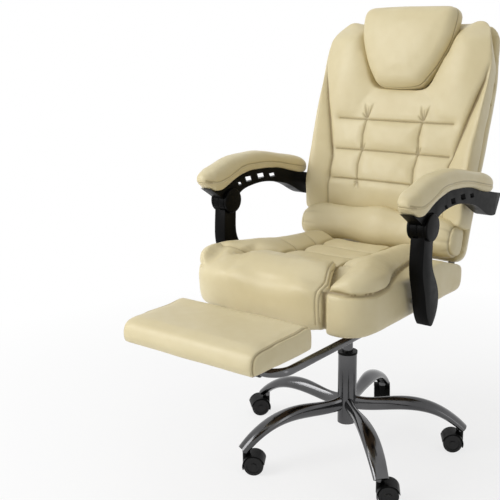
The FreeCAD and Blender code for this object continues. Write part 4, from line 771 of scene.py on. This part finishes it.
def lumbar():
    """The roll across the foot of the back: arched, gathered at both ends."""
    piece = even_skin("lumbar_cushion", ["lumbar_roll"], 0.006, 0.002, 6)
    points = points_of(piece.data)
    across, up, forward = in_back(points)
    arch = (1.0 - (across / LUMBAR_HALF) ** 2) * ramp(up, 0.04, 0.10) * ramp(forward, 0.070, 0.095)
    ends = (across / LUMBAR_HALF) ** 4 * ramp(up, 0.05, 0.10)
    points += UP_ROW * (0.014 * arch - 0.009 * ends)[:, None]
    move_to(piece.data, eased(points, edges_of(piece.data), 6, 0.5))
    puffed(piece, forward < 0.068, 4.0, 0.003)
    smoother(piece)
    tree = surface_of(piece)
    middle = on_back(0.0, 0.055, 0.098)
    loops = [loop_round(tree, middle + Vector((side * 0.224, 0, 0)), Vector((1, 0, 0)), BACK_UP)
             for _, side in SIDES]
    creases = []
    for _, side in SIDES:
        for turn, length in ((20.0, 0.05), (60.0, 0.07), (105.0, 0.06), (140.0, 0.04)):
            ray = BACK_UP * math.cos(math.radians(turn)) + BACK_FORWARD * math.sin(math.radians(turn))
            starts = divided([middle + Vector((side * 0.223, 0, 0)) + ray * 0.2,
                              middle + Vector((side * (0.223 - length), 0, 0)) + ray * 0.2], 0.003)
            creases.append(dropped(tree, starts, -ray, lambda share: 1.0 - share))
    finer(piece, loops + creases, 0.008)
    press_in(piece, loops, 0.0025, 0.0030, 0.6)
    press_in(piece, creases, 0.0018, 0.0060, 0.25)
    crumpled(piece, 0.06, 0.0006, 12.0)
    soft(piece, "backrest", ["lumbar_roll"])


def head():
    """The head pillow."""
    piece = even_skin("head_cushion", ["head_pillow"], 0.0055, 0.002, 4)
    points = points_of(piece.data)
    across, up, forward = in_back(points)
    # The two lower corners are drawn into one wide curve
    half = np.interp(up, (0.431, 0.58, 0.656), (0.098, 0.143, 0.143))
    wide = np.clip(across / half, 1e-3, 1.5)
    low = np.clip((HEAD_ROUND - up) / 0.114, 1e-3, 1.5)
    share = np.maximum(wide, low) / (wide ** 3.0 + low ** 3.0) ** (1.0 / 3.0)
    share = np.where(up < HEAD_ROUND, share, 1.0)
    points[:, 0] *= 1.0 + (share - 1.0) * 0.45
    points += UP_ROW * ((HEAD_ROUND - up) * (1.0 - share) * 0.45 * (up < HEAD_ROUND))[:, None]
    # The face is crowned
    crown = np.clip(1.0 - (across / 0.150) ** 2, 0.0, 1.0)
    crown *= np.clip(1.0 - ((up - 0.55) / 0.125) ** 2, 0.0, 1.0)
    points += FORWARD_ROW * (0.008 * crown * ramp(forward, 0.115, 0.135))[:, None]
    move_to(piece.data, eased(points, edges_of(piece.data), 22, 0.5))
    puffed(piece, forward < 0.105, 4.0, 0.008)
    smoother(piece)
    tree = surface_of(piece)
    seam = loop_round(tree, on_back(0.0, 0.55, 0.116), BACK_FORWARD, Vector((1, 0, 0)), count=180)
    finer(piece, [seam], 0.007)
    press_in(piece, [seam], 0.0024, 0.0026)
    crumpled(piece, 0.07, 0.0012, 21.0)
    soft(piece, "backrest", ["head_pillow"])


# Seat

ABOVE = 0.8
SEAT_NODES = ("seat_base_pad", "seat_middle_cushion", "seat_bolster_left", "seat_bolster_right")
# Each sewn row: its place along the seat, and half its width
SEAT_ROWS = ((-0.182, 0.092), (-0.092, 0.082), (-0.008, 0.082))
# The creases that run out from the rows' ends: how far they tilt, and how long they are
ROW_CREASES = ((-0.040, 0.070), (-0.018, 0.065), (0.0, 0.055))
FAR_CREASE = ((-0.236, -0.250), (-0.200, -0.256), (-0.160, -0.242), (-0.120, -0.212), (-0.092, -0.184))
ROLL_HALF = 0.146
CORNER_RADIUS = 0.070


def far_corner(mesh, tree):
    """The far end of the front roll runs round the corner of the base without a seam."""
    points = points_of(mesh)
    across, along, height = -points[:, 0], points[:, 1], points[:, 2]
    turned = np.clip(across - 0.178, 0.0, 0.069)
    round_corner = CORNER_RADIUS - np.sqrt(CORNER_RADIUS ** 2 - turned ** 2)
    middle = -0.285 + round_corner + 0.013 * ramp(across, 0.150, 0.235)
    blend = ramp(across, 0.105, 0.130) * (1.0 - ramp(along - middle, 0.0, 0.035))
    blend *= 1.0 - ramp(height, 0.530, 0.540) * ramp(across, 0.190, 0.215)
    start = Vector((-0.100, -0.285, 0.500))
    for index in np.flatnonzero(blend > 0.001):
        ray = Vector((0.0, along[index] - middle[index], height[index] - 0.5)).normalized()
        spot, _, _, _ = tree.ray_cast(start, ray)
        if spot is None:
            continue
        reach = (spot - start).length
        lower = 0.034 * float(ramp(across[index], 0.150, 0.230)) * max(0.0, ray.z)
        share = blend[index]
        points[index, 1] += share * (middle[index] + ray.y * reach - along[index])
        points[index, 2] += share * (0.5 + ray.z * (reach - lower) - height[index])
    return points, blend


def seat():
    """One sewn cover over the base, the middle panel with its front roll, and the two side panels."""
    piece = even_skin("seat_cushion", SEAT_NODES, 0.006, 0.0, 1)
    mesh = piece.data
    points = points_of(mesh)
    close, owner = meeting(points, SEAT_NODES, 0.0075)
    across, along, height = np.abs(points[:, 0]), points[:, 1], points[:, 2]
    top = ramp(height, 0.538, 0.550)
    inner = ramp(across, 0.080, 0.100) * (1.0 - ramp(across, 0.125, 0.200)) * ramp(along, -0.27, -0.20)
    ends = (across / ROLL_HALF) ** 2 * (1.0 - ramp(across, ROLL_HALF, 0.152))
    ends *= 1.0 - ramp(along, -0.22, -0.18)
    rear = (1.0 - ramp(across, 0.075, 0.095)) * ramp(along, -0.22, -0.17)
    points[:, 2] += top * (0.010 * inner - 0.013 * ends - 0.004 * rear)
    points[:, 2] -= 0.006 * ramp(-along, 0.27, 0.31) * (1.0 - ramp(height, 0.452, 0.475))
    points = eased(points, edges_of(mesh), 4, 0.5)
    move_to(mesh, points)
    points, blend = far_corner(mesh, surface_of(piece))
    points = eased(points, edges_of(mesh), 24, 0.5, blend < 0.3)
    points = eased(points, edges_of(mesh), 2, 0.5)
    close *= 1.0 - blend
    move_to(mesh, points)
    marked(mesh, "meet", close)
    tree = surface_of(piece)
    rows = []
    for place, half in SEAT_ROWS:
        corners = ((-half, place, ABOVE), (0, place - 0.008, ABOVE), (half, place, ABOVE))
        rows.append(dropped(tree, divided([Vector(corner) for corner in corners]), DOWN))
    creases = []
    for _, side in SIDES:
        for (place, _), (tilt, reach) in zip(SEAT_ROWS, ROW_CREASES):
            tip = Vector((side * (0.084 + reach), place + tilt, ABOVE))
            starts = divided([Vector((side * 0.084, place, ABOVE)), tip], 0.004)
            creases.append(dropped(tree, starts, DOWN, lambda share: 1.0 - share))
    far = [Vector((x, y, ABOVE)) for x, y in FAR_CREASE]
    creases.append(dropped(tree, divided(far, 0.004), DOWN, lambda share: 0.35 + 0.65 * share))
    press_in(piece, rows, 0.005, 0.013, 0.10)
    press_in(piece, creases, 0.004, 0.012, 0.10)
    near, _ = reach_to_lines(points_of(mesh), rows, 0.05)
    puffed(piece, (near < 0.005) | (close > 0.4) | (owner == 0) | (height < 0.47), 4.0, 0.007)
    smoother(piece)
    mesh = piece.data
    meet = ramp(values_of(mesh, "meet"), 0.10, 0.85)
    move_to(mesh, points_of(mesh) - normals_of(mesh) * (0.0075 * meet)[:, None])
    # Painted shade in the grooves where the seat's panels meet.
    marked(mesh, "fold", meet ** 3)
    tree = surface_of(piece)
    bands = []
    for inset in (0.006, 0.0135):
        front = [Vector((ROLL_HALF - inset, -0.6, z)) for z in (0.462, 0.500, 0.535)]
        line = dropped(tree, divided(front, 0.004), Vector((0, 1, 0)))
        middle = Vector((ROLL_HALF - inset, -0.312, 0.530))
        for turn in range(4, 88, 4):
            ray = Vector((0, -math.cos(math.radians(turn)), math.sin(math.radians(turn))))
            spot, _, _, _ = tree.ray_cast(middle + ray * 0.2, -ray)
            line.append((spot, 1.0))
        over = [Vector((ROLL_HALF - inset, -0.308, ABOVE)), Vector((0.094 - 0.7 * inset, -0.192, ABOVE))]
        line += dropped(tree, divided(over, 0.004), DOWN)
        bands.append(line)
    rows, creases = relaid(tree, rows, DOWN), relaid(tree, creases, DOWN)
    finer(piece, rows + bands + creases, 0.008)
    press_in(piece, rows, 0.0030, 0.0032, 0.9)
    press_in(piece, creases, 0.0036, 0.0040, 0.7)
    press_in(piece, bands, 0.0016, 0.0022, 0.6)
    crumpled(piece, 0.06, 0.0014, 41.0)
    soft(piece, "seat", SEAT_NODES)
    sewn("seat_stitching", settled_on(surface_of(piece), bands), "seat")


# Footrest and arm pads

PAD_STATIONS = 60


def footrest():
    """The footrest's padding, with a seam round each end."""
    piece = even_skin("footrest_cushion", ["footrest_pad"], 0.005, 0.001, 4)
    points = points_of(piece.data)
    edge = (points[:, 1] < points[:, 1].min() + 0.075) & (points[:, 2] > 0.440)
    points = eased(points, edges_of(piece.data), 26, 0.5, ~edge)
    rear = points[:, 1].max()
    points[:, 2] += 0.005 * ramp(points[:, 1], rear - 0.06, rear) * ramp(points[:, 2], 0.450, 0.480)
    move_to(piece.data, eased(points, edges_of(piece.data), 2, 0.5))
    puffed(piece, points[:, 2] < 0.452, 2.5, 0.003)
    smoother(piece)
    low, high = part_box("footrest_pad")
    tree = surface_of(piece)
    middle = 0.5 * (low + high)
    loops = []
    for _, side in SIDES:
        spot = Vector((side * (high.x - 0.008), middle.y, middle.z))
        loops.append(loop_round(tree, spot, Vector((1, 0, 0)), Vector((0, 1, 0)), count=120))
    press_in(piece, loops, 0.0022, 0.0030)
    crumpled(piece, 0.08, 0.0014, 61.0)
    soft(piece, "footrest", ["footrest_pad"])
    beside = [[(spot - Vector((side * 0.005, 0, 0)), 1.0) for spot, _ in line]
              for line, (_, side) in zip(loops, SIDES)]
    sewn("footrest_stitching", settled_on(surface_of(piece), beside), "footrest")


def pad_seam(tree, across, side, stations, share):
    """A line along one flank of an arm pad, at a share of its height."""
    line = []
    for along in stations:
        top, _, _, _ = tree.ray_cast(Vector((across, along, 1.2)), DOWN)
        low, _, _, _ = tree.ray_cast(Vector((across, along, 0.3)), -DOWN)
        if top is None or low is None:
            continue
        height = low.z + share * (top.z - low.z)
        spot, _, _, _ = tree.ray_cast(Vector((across + side * 0.1, along, height)), Vector((-side, 0, 0)))
        if spot is not None:
            line.append((spot, 1.0))
    return line


def arm_pads():
    """Both arm pads, with a seam along each flank and round the tip."""
    for name, side in SIDES:
        node = "arm_pad_" + name
        piece = even_skin("arm_cushion_" + name, [node], 0.0045, 0.0, 4)
        points = points_of(piece.data)
        ahead = points[:, 1] - points[:, 1].min()
        blunt = (1.0 - ramp(ahead, 0.010, 0.170)) * ramp(normals_of(piece.data)[:, 2], -0.3, 0.4)
        points[:, 2] += 0.014 * blunt
        move_to(piece.data, eased(points, edges_of(piece.data), 26, 0.5, ahead > 0.034))
        puffed(piece, np.zeros(len(piece.data.vertices), dtype=bool), 2.5, 0.005)
        smoother(piece)
        tree = surface_of(piece)
        low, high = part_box(node)
        across = 0.5 * (low.x + high.x)
        stations = [low.y + 0.012 + (high.y - low.y - 0.024) * i / PAD_STATIONS
                    for i in range(PAD_STATIONS + 1)]
        seams = [pad_seam(tree, across, way, stations, 0.40) for way in (-1.0, 1.0)]
        tip = [seams[0][0], seams[1][0]]
        front = Vector((across, low.y + 0.03, 0.5 * (tip[0][0].z + tip[1][0].z)))
        round_tip = []
        for turn in range(-80, 81, 8):
            ray = Vector((math.sin(math.radians(turn)), -math.cos(math.radians(turn)), -0.25))
            spot, _, _, _ = tree.ray_cast(front + ray * 0.1, -ray)
            if spot is not None:
                round_tip.append((spot, 1.0))
        seam = seams[0][::-1] + round_tip + seams[1]
        finer(piece, [seam], 0.006)
        press_in(piece, [seam], 0.0016, 0.0024, 0.7)
        crumpled(piece, 0.05, 0.0012, 71.0 + side)
        soft(piece, "arm_" + name, [node])
        below = [[(spot - Vector((0, 0, 0.0042)), 1.0) for spot, _ in seam]]
        sewn("arm_stitching_" + name, settled_on(surface_of(piece), below), "arm_" + name)


# Rigid pieces

def joined_sharp(made, angle):
    """Groups of sharp edges that hang together."""
    sharp = {edge for edge in made.edges if edge.calc_face_angle(0.0) > math.radians(angle)}
    groups = []
    while sharp:
        group, waiting = [], [sharp.pop()]
        while waiting:
            edge = waiting.pop()
            group.append(edge)
            for joined in {other for vert in edge.verts for other in vert.link_edges} & sharp:
                sharp.discard(joined)
                waiting.append(joined)
        groups.append(group)
    return groups


def extent(group):
    spots = np.array([vert.co[:] for edge in group for vert in edge.verts])
    return spots.min(axis=0), spots.max(axis=0)


def slanted_windows(made):
    """Turns the windows of an arm outwards to the rear, so that one side of each shows the light."""
    for group in joined_sharp(made, 28.0):
        low, high = extent(group)
        if (high - low).max() > 0.045 or low[1] < -0.140 or high[1] > 0.060:
            continue
        inner = min(abs(low[0]), abs(high[0]))
        for vert in {vert for edge in group for vert in edge.verts}:
            depth = abs(vert.co.x) - inner
            vert.co.y += 1.23 * depth
            vert.co.z -= 0.13 * depth
    reach = max(abs(vert.co.x) for vert in made.verts)
    outer = [face for face in made.faces if all(abs(vert.co.x) > reach - 0.0001 for vert in face.verts)]
    bmesh.ops.delete(made, geom=outer, context="FACES_ONLY")
    loose = [edge for edge in made.edges if not edge.link_faces]
    bmesh.ops.delete(made, geom=loose, context="EDGES")
    rims = [edge for edge in made.edges if len(edge.link_faces) == 1]
    bmesh.ops.triangle_fill(made, use_beauty=True, use_dissolve=False, edges=rims)
    bmesh.ops.recalc_face_normals(made, faces=made.faces)


def rounded_copy(name, node, width, body, material, angle=28.0, segments=3, reshape=None):
    """A copy of a plain solid with its edges rounded. Rims of small openings stay crisp and open."""
    made = opened(solid_mesh(node))
    bmesh.ops.remove_doubles(made, verts=made.verts, dist=SAME_POINT)
    bmesh.ops.dissolve_limit(made, angle_limit=math.radians(1.5), verts=made.verts, edges=made.edges)
    if reshape:
        reshape(made)
    weights = made.edges.layers.float.new("bevel_weight_edge")
    for group in joined_sharp(made, angle):
        low, high = extent(group)
        for edge in group:
            edge[weights] = 0.12 if (high - low).max() < 0.060 else 1.0
    piece = shown(name, closed(made, bpy.data.meshes.new(name)), material)
    bevel = piece.modifiers.new("edges", "BEVEL")
    bevel.width = width
    bevel.segments = segments
    bevel.limit_method = "WEIGHT"
    bevel.use_clamp_overlap = True
    bevel.harden_normals = False
    settle(piece)
    smooth_faces(piece.data)
    piece.data.set_sharp_from_angle(angle=math.radians(40.0))
    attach(piece, body)
    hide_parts(node)


def ribbed(name, middle, body, **inputs):
    """Ribs round an axis that runs across the chair, as one plain mesh."""
    mesh = grown(name + "_holder", bpy.data.meshes.new(name + "_holder"), RIBS, {"Finish": PLASTIC, **inputs})
    mesh.transform(Matrix.Translation(middle) @ Matrix.Rotation(math.radians(90.0), 4, "Y"))
    carried(shown(name, mesh, PLASTIC, False), body)


def arms():
    """The black plastic arms and posts, with ribbed elbows."""
    for name, side in SIDES:
        arm, post = "arm_" + name, "post_" + name
        for piece, node, width, body, reshape in (
                ("arm_frame_", "upper_arm_", 0.0045, arm, slanted_windows),
                ("arm_strut_", "arm_post_", 0.0055, post, None),
                ("elbow_caps_", "elbow_pin_", 0.0022, post, None)):
            rounded_copy(piece + name, node + name, width, body, PLASTIC, reshape=reshape)
        low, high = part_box("elbow_pin_" + name)
        elbow = 0.5 * (low + high)
        low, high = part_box("arm_post_" + name)
        ears = 0.5 * (low.x + high.x)
        for body, way in (("arm_", -1.0), ("post_", 1.0)):
            spot = Vector((ears + way * side * 0.0085, elbow.y, elbow.z))
            ribbed("elbow_ribs_" + body + name, spot, body + name, Radius=0.0308, Length=0.013)


FINISH_OF = {
    "black_plastic": PLASTIC, "wheel_plastic": WHEEL, "bright_steel": CHROME, "black_steel": BLACK_STEEL,
    "plain_steel": STEEL, "plywood": PLYWOOD, "cream_leather": LEATHER,
}


def finish_nodes():
    """Gives every solid that stays in view its finish."""
    for part in frame["record"]["subparts"]:
        mesh = solid_mesh(part["node"])
        mesh.materials.clear()
        mesh.materials.append(FINISH_OF[part["material_slot"]])


# The room, the light and the camera

# A camera fitted to the photograph: its picture, focal length and centre in pixels, its place in metres
PICTURE = 500.0
FOCAL = 832.72
CENTRE_ACROSS, CENTRE_DOWN = 300.353, 251.754
SENSOR = 36.0
CAMERA_REACH = 2.0687
CAMERA_HEIGHT = 1.05002
CAMERA_AZIMUTH, CAMERA_HEADING, CAMERA_PITCH = 32.0347, 35.4866, 13.98
FLOOR_HALF = 9
WHITE = (1.0, 1.0, 1.0, 1.0)
LAMPS = (("key", (-1.9, -2.5, 2.4), (0.0, 0.0, 0.5), (1.9, 1.9), 62.0),
         ("low", (-1.3, -2.6, 0.9), (0.0, -0.2, 0.45), (1.4, 0.5), 10.0),
         ("side", (3.0, -0.4, 1.4), (0.0, 0.0, 0.6), (0.7, 2.0), 6.0),
         ("top", (-0.3, 0.3, 3.2), (0.0, 0.0, 0.5), (1.8, 1.8), 8.0))


def shows_background(tree):
    """1 where the camera sees the surface directly, through glass or in polish, and 0 for its light."""
    rays = tree.nodes.new("ShaderNodeLightPath")
    seen = rays.outputs["Is Camera Ray"]
    for kind in ("Is Transmission Ray", "Is Glossy Ray"):
        larger = tree.nodes.new("ShaderNodeMath")
        larger.operation = "MAXIMUM"
        tree.links.new(seen, larger.inputs[0])
        tree.links.new(rays.outputs[kind], larger.inputs[1])
        seen = larger.outputs[0]
    return seen


def mixed_surface(tree, share, plain, white, out):
    """The plain surface, and white where share is 1."""
    mixed = tree.nodes.new("ShaderNodeMixShader")
    tree.links.new(share, mixed.inputs["Fac"])
    tree.links.new(plain.outputs[0], mixed.inputs[1])
    tree.links.new(white.outputs[0], mixed.inputs[2])
    tree.links.new(mixed.outputs[0], out.inputs["Surface"])


def make_stage():
    """A pale floor that melts into the white background but keeps the soft shadow."""
    finish = Finish("pale_floor", (0.90, 0.90, 0.90), 0.95)
    finish.colour(finish.tint(finish.noise(3.0), (0.89, 0.89, 0.89), (0.91, 0.91, 0.91)))
    tree = finish.tree
    away = tree.nodes.new("ShaderNodeVectorMath")
    away.operation = "LENGTH"
    tree.links.new(finish.place, away.inputs[0])
    share = tree.nodes.new("ShaderNodeMath")
    share.operation = "MULTIPLY"
    tree.links.new(shows_background(tree), share.inputs[0])
    tree.links.new(finish.spread(away.outputs["Value"], 0.76, 1.0, 0.5, 1.6), share.inputs[1])
    white = finish.node("ShaderNodeEmission", Color=WHITE, Strength=1.0)
    mixed_surface(tree, share.outputs[0], finish.shader, white, tree.nodes["Material Output"])
    mesh = bpy.data.meshes.new("floor")
    corners = [(FLOOR_HALF * x, FLOOR_HALF * y, 0) for x, y in ((-1, -1), (1, -1), (1, 1), (-1, 1))]
    mesh.from_pydata(corners, [], [(0, 1, 2, 3)])
    floor = shown("floor", mesh, finish.material, False)


def area_light(name, at, aim, size, power):
    lamp = bpy.data.lights.new(name, "AREA")
    lamp.shape = "RECTANGLE"
    lamp.size, lamp.size_y = size
    lamp.energy = power
    holder = bpy.data.objects.new(name, lamp)
    scene.collection.objects.link(holder)
    holder.location = at
    holder.rotation_euler = (Vector(aim) - Vector(at)).to_track_quat("-Z", "Y").to_euler()


def make_light():
    """Soft light from all round, a large lamp in front on the chair's right, and three weaker ones."""
    world = bpy.data.worlds.new("studio")
    scene.world = world
    world.use_nodes = True
    tree = world.node_tree
    tree.nodes.clear()
    glows = []
    for strength in (0.39, 1.0):
        glow = tree.nodes.new("ShaderNodeBackground")
        glow.inputs["Color"].default_value = WHITE
        glow.inputs["Strength"].default_value = strength
        glows.append(glow)
    mixed_surface(tree, shows_background(tree), *glows, tree.nodes.new("ShaderNodeOutputWorld"))
    for lamp in LAMPS:
        area_light(*lamp)


def make_camera():
    """Stands in front of the chair to its left, a little above the arms, and looks slightly down."""
    lens = bpy.data.cameras.new("camera")
    lens.sensor_width = SENSOR
    lens.lens = FOCAL / PICTURE * SENSOR
    lens.shift_x = (0.5 * PICTURE - CENTRE_ACROSS) / PICTURE
    lens.shift_y = (CENTRE_DOWN - 0.5 * PICTURE) / PICTURE
    camera = bpy.data.objects.new("camera", lens)
    scene.collection.objects.link(camera)
    azimuth, heading, pitch = (math.radians(a) for a in (CAMERA_AZIMUTH, CAMERA_HEADING, CAMERA_PITCH))
    camera.location = (CAMERA_REACH * math.sin(azimuth), -CAMERA_REACH * math.cos(azimuth), CAMERA_HEIGHT)
    level = math.cos(pitch)
    look = Vector((-math.sin(heading) * level, math.cos(heading) * level, -math.sin(pitch)))
    camera.rotation_euler = look.to_track_quat("-Z", "Y").to_euler()
    scene.camera = camera


finish_nodes()
back_front()
back_rear()
lumbar()
head()
seat()
footrest()
arm_pads()
arms()
make_stage()
make_light()
make_camera()
